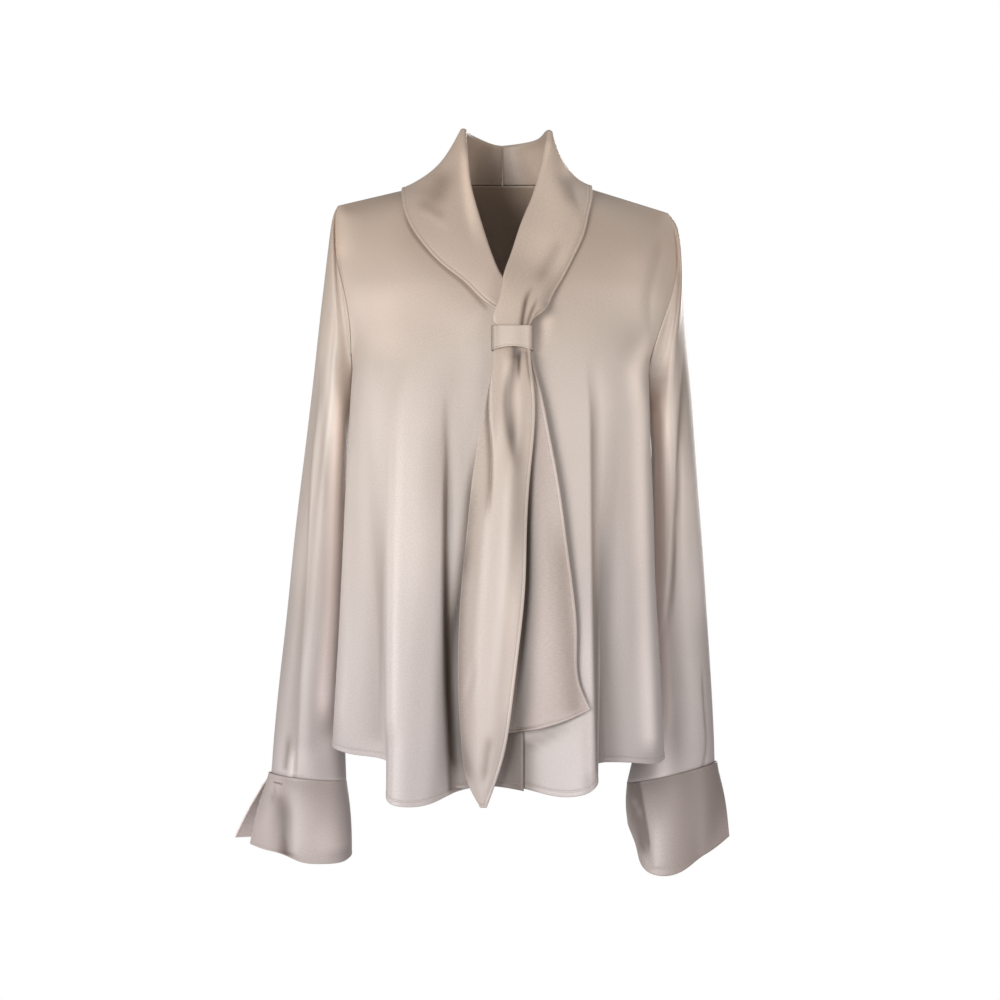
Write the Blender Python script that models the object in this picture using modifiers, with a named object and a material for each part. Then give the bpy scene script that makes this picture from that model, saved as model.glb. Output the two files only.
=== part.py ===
"""Tie-neck satin blouse, worn on nobody: a hollow upright garment with open cuffs.

Metres, +Z up, the front faces -Y and the wearer's right is at -X. The origin is in the middle of the
neck, at the height where the shoulder seams meet the collar. The tables below are in millimetres;
`drop` is the distance down from the origin. Every cloth piece is a surface lofted through a few named
sections and given its wall by a Solidify modifier, half to each side.
"""

import math
from collections import namedtuple

import bpy
import numpy as np
from mathutils import Vector
from mathutils.bvhtree import BVHTree

MM = 0.001

WALL = 1.2  # cloth with its seams and facings
SEAM = 0.3  # clear gap between two pieces that are sewn together
HALF_JOIN = 0.5  # from a seam line to the middle of each wall's end
SLEEVE_JOIN = 1.3  # from an armhole's edge to the sleeve's
UNDERARM_STEP = 2.2  # further out at the underarm, where the sleeve lies over the body's side
UNDERARM_SPREAD = 3  # power by which that step dies out up the armhole
SEWN_ABOVE = 2.4  # from the neckline's edge up to the collar's stand, and at the V forwards too
HALF_SLIT = 0.4  # half the gap between two pieces that meet end to end in line
SLEEVE_CLEARANCE = 3.0
FACING_BODY = -0.1  # cosine of the turn past which a sleeve's points face the body
SQUARE_SHARE = 0.85  # a point is over or under a face, not beside it, from this share of its distance

PLAN_POINTS = 30  # fine points along a curve before it is divided into columns
FRONT_COLUMNS = 21
BACK_COLUMNS = 28
CUFF_COLUMNS = 24
CUFF_ROWS = 4
BODY_STEPS = (2, 2, 1, 1, 1, 1, 1, 1, 2, 3, 4)  # rows of faces between one body section and the next
SLEEVE_STEPS = (1, 1, 1, 1, 2, 2, 2, 2)
FALL_POINTS, ROLL_POINTS, STAND_POINTS = 5, 3, 3
TIE_COLUMNS = FALL_POINTS + ROLL_POINTS + STAND_POINTS

FOLD_START = 165.0  # drop at which the body's folds begin
FOLD_GROWTH = 1.25
SEAM_STAYS = 12  # power by which the back's folds die out just before the side seams
GRAIN_SHIFT = 0.06  # share by which a front's points gather towards the side, where it curves most
TUCK_CORNER = 0.6  # how squarely a front turns in to its side seam
V_POINT, UNDERARM = 5, 7  # the body sections that reach the point of the V and the underarm
ARMHOLE_END, SIDE_END = 66.0, 78.0  # degrees of arc that a section has run through at its outer end
ARMHOLE_ROWS = sum(BODY_STEPS[:UNDERARM])
SLEEVE_TURNS = math.pi * np.arange(2 * ARMHOLE_ROWS) / ARMHOLE_ROWS

Body = namedtuple("Body", "in_x in_y in_drop wide_x wide_y out_x out_y out_drop square")
FRONT_RIGHT = (
    Body(-86, 0, 0, -184, 0, -184, 0, 23, 2.0),
    Body(-80, -26, 8, -188, -16, -188, -16, 44, 2.0),
    Body(-68, -56, 30, -186, -32, -186, -32, 74, 2.2),
    Body(-48, -84, 62, -178, -44, -178, -44, 108, 2.3),
    Body(-24, -104, 93, -171, -50, -171, -50, 140, 2.4),
    Body(-2, -116, 118, -168, -48, -168, -48, 170, 2.4),
    Body(18, -123, 150, -168, -44, -167, -28, 200, 2.4),
    Body(18, -126, 185, -168, -44, -163, 4, 220, 2.4),
    Body(18, -129, 240, -170, -44, -162, 6, 255, 2.4),
    Body(18, -131, 330, -175, -44, -161, 7, 335, 2.4),
    Body(18, -133, 460, -180, -44, -164, 8, 450, 2.4),
    Body(18, -135, 652, -189, -44, -170, 9, 613, 2.4),
)
FRONT_LEFT = (
    Body(74, 0, -1, 177, 0, 177, 0, 31, 2.0),
    Body(69, -26, 8, 184, -16, 184, -16, 54, 2.0),
    Body(59, -56, 30, 186, -32, 186, -32, 85, 2.2),
    Body(42, -83, 62, 180, -44, 180, -44, 120, 2.3),
    Body(20, -102, 93, 170, -50, 170, -50, 150, 2.4),
    Body(0, -113, 118, 160, -48, 160, -48, 180, 2.4),
    Body(-10, -120, 150, 156, -42, 152, -28, 208, 2.4),
    Body(-10, -123, 185, 156, -42, 148, 4, 226, 2.4),
    Body(-10, -126, 240, 156, -42, 147, 6, 260, 2.4),
    Body(-10, -128, 330, 159, -42, 148, 7, 340, 2.4),
    Body(-10, -130, 460, 163, -42, 149, 8, 455, 2.4),
    Body(-10, -132, 650, 171, -42, 153, 9, 622, 2.4),
)

Back = namedtuple("Back", "in_y in_drop out_y square")
BACK_CENTRE = -4.0
BACK = (
    Back(66, -6, 0, 2.0),
    Back(79, 20, 17, 2.0),
    Back(92, 46, 34, 2.1),
    Back(102, 80, 46, 2.2),
    Back(108, 115, 51, 2.3),
    Back(111, 145, 47, 2.3),
    Back(112, 175, 30, 2.3),
    Back(113, 205, 4, 2.3),
    Back(114, 250, 6, 2.3),
    Back(117, 335, 7, 2.3),
    Back(122, 455, 8, 2.3),
    Back(132, 655, 9, 2.3),
)

Point = namedtuple("Point", "x y drop")
HEM_RIGHT = (  # from the front edge to the side seam
    Point(18, -133, 653),
    Point(-15, -132, 648),
    Point(-40, -126, 651),
    Point(-58, -125, 657),
    Point(-78, -142, 665),
    Point(-106, -152, 668),
    Point(-123, -148, 664),
    Point(-126, -135, 653),
    Point(-122, -118, 636),
    Point(-126, -101, 625),
    Point(-142, -89, 621),
    Point(-168, -72, 619),
    Point(-187, -50, 614),
    Point(-185, -22, 611),
    Point(-170, 9, 613),
)
HEM_LEFT = (
    Point(-10, -130, 646),
    Point(20, -130, 651),
    Point(45, -136, 657),
    Point(70, -144, 658),
    Point(88, -146, 653),
    Point(96, -138, 645),
    Point(93, -122, 633),
    Point(97, -106, 627),
    Point(114, -96, 626),
    Point(141, -83, 628),
    Point(163, -64, 630),
    Point(172, -42, 626),
    Point(166, -15, 623),
    Point(153, 9, 622),
)

Fold = namedtuple("Fold", "at out half_width")
BACK_FOLDS = (  # `at` runs from -1 at the right side seam to 1 at the left one
    Fold(-0.72, 11, 0.12),
    Fold(-0.47, -13, 0.12),
    Fold(-0.22, 17, 0.15),
    Fold(0.04, -15, 0.13),
    Fold(0.30, 18, 0.14),
    Fold(0.55, -12, 0.12),
    Fold(0.76, 7, 0.10),
)

# One section of a sleeve: its outer and inner side, its half depths, and how far its front and back
# are bowed out sideways.
Ring = namedtuple("Ring", "out_x out_y out_drop in_x in_y in_drop front back bow")
SLEEVE_RIGHT = (
    Ring(-191, 4, 40, -166, 12, 238, 56, 46, 4),
    Ring(-197, 6, 85, -171, 18, 262, 56, 50, 2),
    Ring(-204, 10, 145, -174, 22, 295, 54, 54, 0),
    Ring(-215, 18, 236, -175, 28, 345, 51, 56, 0),
    Ring(-229, 27, 347, -177, 34, 420, 49, 54, 0),
    Ring(-241, 33, 458, -179, 38, 500, 46, 50, 0),
    Ring(-253, 34, 569, -180, 39, 587, 43, 46, 0),
    Ring(-260, 31, 648, -178, 36, 657, 39, 42, 0),
)
SLEEVE_LEFT = (
    Ring(189, 4, 50, 156, 12, 246, 56, 46, 12),
    Ring(192, 7, 90, 160, 19, 270, 57, 50, 8),
    Ring(196, 13, 145, 162, 27, 302, 55, 54, 3),
    Ring(205, 22, 236, 161, 37, 347, 51, 56, 0),
    Ring(214, 32, 347, 159, 46, 420, 49, 54, 0),
    Ring(222, 40, 458, 156, 51, 500, 46, 50, 0),
    Ring(229, 43, 569, 150, 53, 590, 43, 46, 0),
    Ring(232, 41, 637, 136, 50, 661, 39, 42, 0),
)

CUFF_LAP = 14.0  # degrees by which the cuff's ends overlap at its top
CUFF_STEP = 3.5  # how far the upper lap stands off the under lap
LAP_SPREAD = 6  # power by which that step dies out along the cuff
CUFF_FLARE = 2.5  # how far the band bulges between its top and its hem
CUFF_HEM_RIGHT = (  # from the upper lap's corner, round the front, to the under lap's corner
    Point(-281, -4, 724),
    Point(-262, -17, 729),
    Point(-244, -23, 733),
    Point(-225, -25, 741),
    Point(-202, -20, 744),
    Point(-182, -6, 744),
    Point(-173, 16, 741),
    Point(-176, 52, 737),
    Point(-206, 78, 732),
    Point(-245, 75, 727),
    Point(-279, 56, 723),
    Point(-301, 32, 721),
)
CUFF_HEM_LEFT = (
    Point(246, 8, 717),
    Point(226, -4, 731),
    Point(212, -11, 739),
    Point(196, -14, 751),
    Point(174, -14, 758),
    Point(157, -8, 755),
    Point(145, 24, 732),
    Point(137, 62, 707),
    Point(150, 94, 705),
    Point(185, 104, 710),
    Point(218, 90, 716),
    Point(236, 62, 718),
)

# One station of the collar: its outer edge, the roll line at the neck, how far along the half
# neckline it is sewn (0 at the centre of the back, 1 at the point of the V), how far the fall sags,
# the radius of its roll, and how far its edge is off the body.
FREE = -1.0  # a station whose inner edge is only turned under
TURNED_UNDER = 4.0
Collar = namedtuple("Collar", "edge_x edge_y edge_drop roll_x roll_y roll_drop sewn sag roll lift")
COLLAR_RIGHT = (
    Collar(-4, 96, 38, -4, 62, -50, 0.00, 2, 3.5, 2.8),
    Collar(-28, 95, 37, -13, 60, -51, 0.06, 2, 3.5, 2.8),
    Collar(-60, 86, 28, -27, 49, -55, 0.14, 4, 3.5, 3.0),
    Collar(-100, 46, 14, -41, 24, -60, 0.27, 7, 3.5, 3.0),
    Collar(-113, 4, 4, -45, -2, -59, 0.37, 9, 3.5, 3.6),
    Collar(-111, -28, 24, -43, -20, -36, 0.45, 4, 3.5, 3.0),
    Collar(-102, -60, 51, -39, -43, 1, 0.55, -2, 3.5, 2.4),
    Collar(-88, -84, 72, -31, -66, 34, 0.66, -3, 3.5, 2.4),
    Collar(-66, -102, 96, -21, -92, 68, 0.78, -2, 3.0, 2.4),
    Collar(-41, -115, 117, -9, -111, 101, 0.90, -1, 2.0, 3.2),
    Collar(-22, -123, 136, 5, -121, 120, FREE, 0, 1.5, 3.4),
)
COLLAR_LEFT = (
    Collar(-4, 96, 38, -4, 62, -50, 0.00, 2, 3.5, 2.8),
    Collar(20, 95, 37, 8, 60, -51, 0.06, 2, 3.5, 2.8),
    Collar(50, 87, 29, 27, 50, -53, 0.14, 4, 3.5, 3.0),
    Collar(82, 46, 15, 41, 26, -58, 0.27, 6, 3.5, 3.0),
    Collar(92, 4, 4, 46, 0, -58, 0.37, 8, 3.5, 4.6),
    Collar(92, -20, 18, 43, -18, -36, 0.45, 4, 3.5, 3.6),
    Collar(88, -55, 41, 37, -37, -10, 0.54, -1, 3.5, 2.6),
    Collar(83, -76, 62, 28, -60, 20, 0.63, -3, 3.5, 2.4),
    Collar(72, -98, 86, 16, -87, 51, 0.74, -2, 3.5, 2.4),
    Collar(60, -112, 110, 5, -111, 86, 0.86, -1, 3.0, 3.0),
    Collar(46, -124, 132, -4, -129, 114, FREE, 0, 2.0, 6.0),
)

# One section of a free tie end: its two long edges, its place in y, and the depth of its fold.
Tie = namedtuple("Tie", "near_x near_drop far_x far_drop y fold belly")
TIE_RIGHT = (  # near: the edge that goes on from the collar's outer edge
    Tie(-12, 161, 26, 156, -131.5, 0.8, 0),
    Tie(-12, 176, 26, 176, -133.0, 0.8, 0),
    Tie(-12, 193, 27, 193, -134.0, 0.8, 0),
    Tie(-12, 228, 35, 228, -136.5, 1.5, 0),
    Tie(-14, 276, 45, 276, -139.0, 2.0, 0),
    Tie(-17, 324, 54, 324, -140.5, 2.5, 0),
    Tie(-22, 387, 63, 387, -142.0, 3.0, 0),
    Tie(-26, 440, 70, 440, -143.0, 3.0, 0),
    Tie(-29, 500, 74, 492, -144.0, 3.0, 2),
    Tie(-30, 550, 76, 536, -145.0, 3.0, 5),
    Tie(-30, 589, 88, 566, -146.0, 2.0, 10),
)
TIE_LEFT = (
    Tie(26, 159, -12, 160, -138.0, 1.2, 0),
    Tie(25, 176, -12, 176, -139.0, 1.2, 0),
    Tie(25, 192, -13, 192, -141.0, 1.5, 0),
    Tie(29, 232, -18, 232, -145.0, 2.5, 0),
    Tie(25, 315, -34, 315, -150.0, 4.0, 0),
    Tie(21, 380, -41, 380, -152.0, 4.5, 0),
    Tie(19, 440, -47, 440, -153.5, 4.5, 0),
    Tie(13, 500, -50, 500, -154.5, 4.0, 0),
    Tie(7, 550, -50, 550, -155.0, 3.0, 0),
    Tie(0, 600, -47, 600, -155.0, 2.0, 0),
    Tie(-9, 635, -41, 640, -155.0, 1.0, 0),
    Tie(-21, 668, -27, 668, -155.0, 0.0, 0),
)
TIE_LENGTH_ROWS = 17
COLLAR_LENGTH_ROWS = 20

KEEPER_TOP, KEEPER_HEIGHT = 163.0, 26.0
KEEPER_SIDES = (-15.5, 28.5)
KEEPER_BACK, KEEPER_FRONT = -127.2, -144.2
KEEPER_ROUND = 5.0
KEEPER_SLOPE = 1.6  # how far its foot leans forward of its top
KEEPER_CORNER_POINTS, KEEPER_ROWS = 4, 3

BUTTON_RADIUS, BUTTON_THICKNESS, BUTTON_SIDES = 5.0, 2.0, 16
BUTTON_AT = (0.955, 0.35)  # along the cuff towards the under lap's end, and down it


def spline(knots, values, at):
    """Natural cubic curve through the values at the knots, read at each place in `at`."""
    knots = np.asarray(knots, float)
    values = np.asarray(values, float)
    flat = values.reshape(len(knots), -1)
    gap = np.diff(knots)
    slope = np.diff(flat, axis=0) / gap[:, None]
    system = np.eye(len(knots))
    bends = np.zeros_like(flat)
    for i in range(1, len(knots) - 1):
        system[i, i - 1 : i + 2] = gap[i - 1], 2 * (gap[i - 1] + gap[i]), gap[i]
        bends[i] = 6 * (slope[i] - slope[i - 1])
    bends = np.linalg.solve(system, bends)
    at = np.atleast_1d(np.asarray(at, float))
    i = np.clip(np.searchsorted(knots, at, side="right") - 1, 0, len(knots) - 2)
    before = ((knots[i + 1] - at) / gap[i])[:, None]
    after = 1 - before
    curve = (before**3 - before) * bends[i] + (after**3 - after) * bends[i + 1]
    read = before * flat[i] + after * flat[i + 1] + curve * (gap[i] ** 2 / 6)[:, None]
    return read.reshape((len(at),) + values.shape[1:])


def lengths(points):
    """Distance along a line of points, from 0 at its start."""
    steps = np.linalg.norm(np.diff(points, axis=0), axis=1)
    return np.concatenate([[0], np.cumsum(steps)])


def at_shares(points, shares):
    """Points at the given shares of a line's length."""
    run = lengths(points)
    wanted = np.asarray(shares) * run[-1]
    return np.stack([np.interp(wanted, run, points[:, axis]) for axis in range(3)], axis=1)


def curve_through(points, shares):
    """Smooth curve through the points, read at shares of its length."""
    points = np.asarray(points, float)
    run = lengths(points)
    fine = spline(run, points, np.linspace(0, run[-1], PLAN_POINTS * len(points)))
    return at_shares(fine, shares)


def stepped(steps):
    """Places 0 to len(steps), with `steps[i]` equal parts between i and i + 1."""
    parts = [i + np.arange(count) / count for i, count in enumerate(steps)]
    return np.concatenate(parts + [[len(steps)]])


def up(points):
    """Table points (x, y, drop) turned to millimetres with z up."""
    return np.asarray(points, float) * (1, 1, -1)


def quarter(inner, outer, square, end=90.0):
    """Superellipse arc in plan, from the centre line; at 90 degrees it ends running straight back."""
    turn = np.radians(np.linspace(0, end, PLAN_POINTS))
    reach = np.sin(turn) ** (2 / square)
    rise = np.abs(np.cos(turn)) ** (2 / square)
    x = inner[0] + (outer[0] - inner[0]) * reach / reach[-1]
    y = outer[1] + (inner[1] - outer[1]) * (rise - rise[-1]) / (1 - rise[-1])
    return np.stack([x, y], axis=1)


def with_drop(plan, start, end):
    """A plan line given heights that fall evenly along it."""
    line = np.column_stack([plan, np.zeros(len(plan))])
    run = lengths(line)
    line[:, 2] = -(start + (end - start) * run / run[-1])
    return line


def front_section(row, columns):
    """One section of a front, from its inner edge to its seam, tucking in past the widest point."""
    tucked = (row.wide_x, row.wide_y) != (row.out_x, row.out_y)
    end = 90.0 if tucked else ARMHOLE_END
    plan = quarter((row.in_x, row.in_y), (row.wide_x, row.wide_y), row.square, end)
    if tucked:
        along = np.linspace(0, 1, PLAN_POINTS)[1:, None]
        wide = np.array([row.wide_x, row.wide_y], float)
        seam = np.array([row.out_x, row.out_y], float)
        corner = np.array([row.wide_x, row.wide_y + TUCK_CORNER * (row.out_y - row.wide_y)])
        tuck = (1 - along) ** 2 * wide + 2 * along * (1 - along) * corner + along**2 * seam
        plan = np.concatenate([plan, tuck])
    shares = np.linspace(0, 1, columns + 1)
    shares = shares + GRAIN_SHIFT * np.sin(math.pi * shares)
    return at_shares(with_drop(plan, row.in_drop, row.out_drop), shares)


def fold_weight(grid):
    """How far each point has gone from the smooth form (0) to the folded hem (1)."""
    hem = grid[-1, :, 2]
    share = (-FOLD_START - grid[..., 2]) / (-FOLD_START - hem)
    return np.clip(share, 0, 1) ** FOLD_GROWTH


def front(rows, hem, columns, steps):
    """Grid of a front: its sections, with the folds of its hem growing from the chest down."""
    sections = np.array([front_section(row, columns) for row in rows])
    grid = spline(np.arange(len(rows)), sections, stepped(steps))
    folded = curve_through(up(hem), np.linspace(0, 1, columns + 1))
    weight = fold_weight(grid)[..., None]
    grid = grid + weight * (folded - grid[-1])
    grid[: 1 + steps[0], :, 1] -= HALF_JOIN * np.linspace(1, 0, 1 + steps[0])[:, None]
    grid[:, -1, 1] -= HALF_JOIN
    return grid


def back_half(rows, seams, columns):
    """Sections of half the back, from the centre to the seam that it shares with a front."""
    sections = []
    for number, (row, seam) in enumerate(zip(rows, seams)):
        if number == 0:
            turn = np.linspace(0, math.pi / 2, PLAN_POINTS)
            neck_x = BACK_CENTRE + (seam.in_x - BACK_CENTRE) * np.sin(turn)
            neck_y = row.in_y * np.cos(turn)
            neck_drop = row.in_drop + (seam.in_drop - row.in_drop) * (1 - np.cos(turn))
            neck = np.stack([neck_x, neck_y, -neck_drop], axis=1)
            tip = np.array([[seam.out_x, seam.out_y, -seam.out_drop]], float)
            line = np.concatenate([neck, tip])
        else:
            end = ARMHOLE_END if number < UNDERARM else SIDE_END
            plan = quarter((BACK_CENTRE, row.in_y), (seam.out_x, row.out_y), row.square, end)
            line = with_drop(plan, row.in_drop, seam.out_drop)
        sections.append(at_shares(line, np.linspace(0, 1, columns + 1)))
    return np.array(sections)


def back(rows, steps, columns):
    """Grid of the back, from the right side seam to the left one, with folds that grow to the hem."""
    half = columns // 2
    right = back_half(rows, FRONT_RIGHT, half)
    left = back_half(rows, FRONT_LEFT, half)
    sections = np.concatenate([right[:, ::-1], left[:, 1:]], axis=1)
    grid = spline(np.arange(len(rows)), sections, stepped(steps))
    place = np.linspace(-1, 1, columns + 1)
    push = np.zeros(columns + 1)
    for fold in BACK_FOLDS:
        push += fold.out * np.exp(-(((place - fold.at) / fold.half_width) ** 2))
    push *= 1 - np.abs(place) ** SEAM_STAYS
    across = np.gradient(grid[-1], axis=0)
    outward = np.stack([-across[:, 1], across[:, 0]], axis=1)
    outward /= np.linalg.norm(outward, axis=1, keepdims=True)
    grid[..., :2] += (fold_weight(grid) * push)[..., None] * outward
    grid[: 1 + steps[0], :, 1] += HALF_JOIN * np.linspace(1, 0, 1 + steps[0])[:, None]
    grid[:, [0, -1], 1] += HALF_JOIN
    return grid


def ring_point(row, turn):
    """Points round a sleeve section: turn 0 is its outer side, a quarter is its front."""
    outer = np.array([row.out_x, row.out_y, -row.out_drop], float)
    inner = np.array([row.in_x, row.in_y, -row.in_drop], float)
    middle = (outer + inner) / 2
    depth = np.where(np.sin(turn) > 0, row.front, row.back)
    points = middle + np.cos(turn)[:, None] * (outer - inner) / 2
    points[:, 0] += math.copysign(row.bow, row.out_x) * np.sin(turn) ** 2
    points[:, 1] -= depth * np.sin(turn)
    return points


def armhole(front_grid, back_grid, back_edge, side):
    """Ring of the armhole, from the shoulder tip down the front and up the back, moved out."""
    down = front_grid[: ARMHOLE_ROWS + 1, -1]
    rise = back_grid[: ARMHOLE_ROWS + 1, back_edge][::-1]
    ring = np.concatenate([down, rise[1:-1]])
    ring[0] = (down[0] + rise[-1]) / 2
    ring[ARMHOLE_ROWS] = (down[-1] + rise[0]) / 2
    under = ((1 - np.cos(SLEEVE_TURNS)) / 2) ** UNDERARM_SPREAD
    ring[:, 0] += side * (SLEEVE_JOIN + UNDERARM_STEP * under)
    return ring


def sleeve(rows, first_ring, tree):
    """Grid of a sleeve, closed round, from its armhole to the cuff's seam, clear of the body."""
    rings = np.array([first_ring] + [ring_point(row, SLEEVE_TURNS) for row in rows])
    grid = spline(np.arange(len(rings)), rings, stepped(SLEEVE_STEPS))
    facing_body = np.cos(SLEEVE_TURNS) < FACING_BODY
    for row in grid[1:]:
        for column in np.flatnonzero(facing_body):
            row[column] += short_of(row[column], tree, SLEEVE_CLEARANCE)
    return grid


def cuff(last_ring, hem, columns, rows):
    """Grid of an open cuff, from its upper lap round the arm to its under lap."""
    shares = np.linspace(0, 1, columns + 1)
    turn = np.radians(-CUFF_LAP + shares * (360 + CUFF_LAP))
    top = ring_point(last_ring, turn)
    centre = top.mean(axis=0)
    out = top - centre
    out[:, 2] = 0
    out /= np.linalg.norm(out, axis=1, keepdims=True)
    top += out * (CUFF_STEP * (1 - shares) ** LAP_SPREAD)[:, None]
    top[:, 2] -= HALF_JOIN + SEAM
    bottom = curve_through(up(hem), shares)
    fall = np.linspace(0, 1, rows + 1)[:, None, None]
    bulge = CUFF_FLARE * np.sin(math.pi * fall)
    return top + fall * (bottom - top) + bulge * out


def half_neckline(back_grid, front_grid, towards):
    """Line of half the neckline, from the centre of the back to the point of the V."""
    middle = BACK_COLUMNS // 2
    top = back_grid[0, middle::towards]
    neck_end = front_grid[0, 0]
    near = np.linalg.norm(top - neck_end, axis=1).argmin()
    down = front_grid[: 1 + sum(BODY_STEPS[:V_POINT]), 0]
    return np.concatenate([top[:near], down])


def collar_section(station, sewn_at, ahead, side):
    """Section of the rolled collar: outer edge, fall, roll and stand down to the neckline."""
    edge = np.array([station.edge_x, station.edge_y, -station.edge_drop], float)
    tip = np.array([station.roll_x, station.roll_y, -station.roll_drop], float)
    inward = (tip - edge) / np.linalg.norm(tip - edge)
    out = side * np.cross(ahead, inward)
    out /= np.linalg.norm(out)
    centre = tip - station.roll * inward
    fall_end = centre + station.roll * out
    middle = (edge + fall_end) / 2 - station.sag * out
    fall = curve_through([edge, middle, fall_end], np.linspace(0, 1, FALL_POINTS + 1))
    turn = np.linspace(0, math.pi, ROLL_POINTS + 1)[1:, None]
    roll = centre + station.roll * (np.sin(turn) * inward + np.cos(turn) * out)
    down = np.linspace(0, 1, STAND_POINTS + 1)[1:, None]
    if station.sewn == FREE:
        sewn_at = roll[-1] - TURNED_UNDER * inward
    stand = roll[-1] + down * (sewn_at - roll[-1])
    return np.concatenate([fall, roll, stand])


def tie_section(row, side):
    """Section of a flat tie end, from its near edge to its far one, bent by one soft fold."""
    share = np.linspace(0, 1, TIE_COLUMNS + 1)
    x = row.near_x + (row.far_x - row.near_x) * share
    drop = row.near_drop + (row.far_drop - row.near_drop) * share
    drop = drop + row.belly * 4 * share * (1 - share)
    y = row.y + side * row.fold * np.sin(2 * math.pi * share)
    return np.stack([x, y, -drop], axis=1)


def collar_tie(stations, ties, neckline, tree, side):
    """Grid of half the collar with the tie end that goes on from it."""
    shares = np.array([station.sewn for station in stations])
    sewn = at_shares(neckline, shares)
    sewn[:, 2] += SEWN_ABOVE
    sewn[:, 1] -= SEWN_ABOVE * shares**2
    edges = np.array([(s.edge_x, s.edge_y, -s.edge_drop) for s in stations], float)
    aheads = np.gradient(edges, axis=0)
    sections = [
        collar_section(station, at, ahead, side)
        for station, at, ahead in zip(stations, sewn, aheads)
    ]
    sections[0][:, 0] -= side * HALF_SLIT
    sections += [tie_section(row, side) for row in ties]
    sections = np.array(sections)
    knots = lengths(sections.mean(axis=1))
    split = knots[len(stations)]
    collar_part = np.linspace(0, split, COLLAR_LENGTH_ROWS + 1)
    tie_part = np.linspace(split, knots[-1], TIE_LENGTH_ROWS + 1)[1:]
    grid = spline(knots, sections, np.concatenate([collar_part, tie_part]))
    lifts = np.interp(collar_part[:-2], knots[: len(stations)], [s.lift for s in stations])
    laid_on(grid, tree, lifts)
    return grid


def keeper():
    """Grid of the loop that holds the tie ends: a flattened tube, leaning with the chest."""
    left, right = KEEPER_SIDES
    corners = (
        (left + KEEPER_ROUND, KEEPER_BACK - KEEPER_ROUND, 90, 180),
        (left + KEEPER_ROUND, KEEPER_FRONT + KEEPER_ROUND, 180, 270),
        (right - KEEPER_ROUND, KEEPER_FRONT + KEEPER_ROUND, 270, 360),
        (right - KEEPER_ROUND, KEEPER_BACK - KEEPER_ROUND, 0, 90),
    )
    plan = []
    for x, y, start, end in corners:
        for angle in np.radians(np.linspace(start, end, KEEPER_CORNER_POINTS)):
            plan.append((x + KEEPER_ROUND * math.cos(angle), y + KEEPER_ROUND * math.sin(angle)))
    plan = np.array(plan)
    rows = []
    for share in np.linspace(0, 1, KEEPER_ROWS):
        y = plan[:, 1] - KEEPER_SLOPE * (share - 0.5)
        z = np.full(len(plan), -(KEEPER_TOP + KEEPER_HEIGHT * share))
        rows.append(np.stack([plan[:, 0], y, z], axis=1))
    return np.array(rows)


def tree_of(*grids):
    """Search tree over the surfaces of open grids, whose normals point out of the garment."""
    points, faces = [], []
    for grid in grids:
        first = len(points)
        points.extend(Vector(point) for point in grid.reshape(-1, 3))
        faces.extend([first + i for i in face] for face in grid_faces(grid, False))
    return BVHTree.FromPolygons(points, faces)


def short_of(point, tree, clearance):
    """Step that brings a point out to the clearance from a surface, or none if it is already clear."""
    near, normal, _, distance = tree.find_nearest(Vector(point))
    height = (Vector(point) - near).dot(normal)
    squarely = abs(height) > SQUARE_SHARE * distance
    if distance >= clearance and (height > 0 or not squarely):
        return np.zeros(3)
    return np.array(normal) * (clearance - height)


def laid_on(grid, tree, lifts):
    """The grid with its outer edge laid at its lift off the body and the rest of the fall no nearer."""
    for row, lift in zip(grid, lifts):
        near, normal, _, _ = tree.find_nearest(Vector(row[0]))
        row[0] = near + normal * lift
        for column in range(1, FALL_POINTS - 1):  # the last ones go up to the roll
            row[column] += short_of(row[column], tree, lift)


def grid_faces(grid, round_closed):
    """Quads between neighbouring rows and columns of a grid."""
    rows, columns = grid.shape[:2]
    faces = []
    for i in range(rows - 1):
        for j in range(columns if round_closed else columns - 1):
            k = (j + 1) % columns
            faces.append((i * columns + j, (i + 1) * columns + j, (i + 1) * columns + k, i * columns + k))
    return faces


def fabric(name, colour):
    """Satin: soft, with a broad sheen."""
    material = bpy.data.materials.new(name)
    material.use_nodes = True
    surface = material.node_tree.nodes["Principled BSDF"]
    surface.inputs["Base Color"].default_value = (*colour, 1)
    surface.inputs["Roughness"].default_value = 0.38
    surface.inputs["Metallic"].default_value = 0
    return material


def cloth(name, grid, colour, collection, round_closed=False):
    """Object of one cloth piece: the grid's surface with its wall."""
    mesh = bpy.data.meshes.new(name)
    mesh.from_pydata((grid.reshape(-1, 3) * MM).tolist(), [], grid_faces(grid, round_closed))
    mesh.shade_smooth()
    mesh.materials.append(fabric(name, colour))
    piece = bpy.data.objects.new(name, mesh)
    wall = piece.modifiers.new("Wall", "SOLIDIFY")
    wall.thickness = WALL * MM
    wall.offset = 0
    collection.objects.link(piece)
    return piece


def button(name, grid, collection):
    """Flat button just off the outer face of a cuff's under lap."""
    rows, columns = grid.shape[0] - 1, grid.shape[1] - 1
    row, column = round(BUTTON_AT[1] * rows), round(BUTTON_AT[0] * columns)
    at = grid[row, column]
    along = grid[row, column] - grid[row, column - 1]
    down = grid[row + 1, column] - grid[row, column]
    out = np.cross(along, down)
    out /= np.linalg.norm(out)
    centre = np.mean(grid[row], axis=0)
    if np.dot(out, at - centre) < 0:
        out = -out
    lift = WALL / 2 + SEAM + BUTTON_THICKNESS / 2
    bpy.ops.mesh.primitive_cylinder_add(
        vertices=BUTTON_SIDES,
        radius=BUTTON_RADIUS * MM,
        depth=BUTTON_THICKNESS * MM,
        location=(at + out * lift) * MM,
        rotation=Vector(out).to_track_quat("Z", "Y").to_euler(),
    )
    piece = bpy.context.object
    piece.name = name
    piece.data.name = name
    piece.data.materials.append(fabric(name, BUTTON_COLOUR))
    for holder in list(piece.users_collection):
        holder.objects.unlink(piece)
    collection.objects.link(piece)


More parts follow.
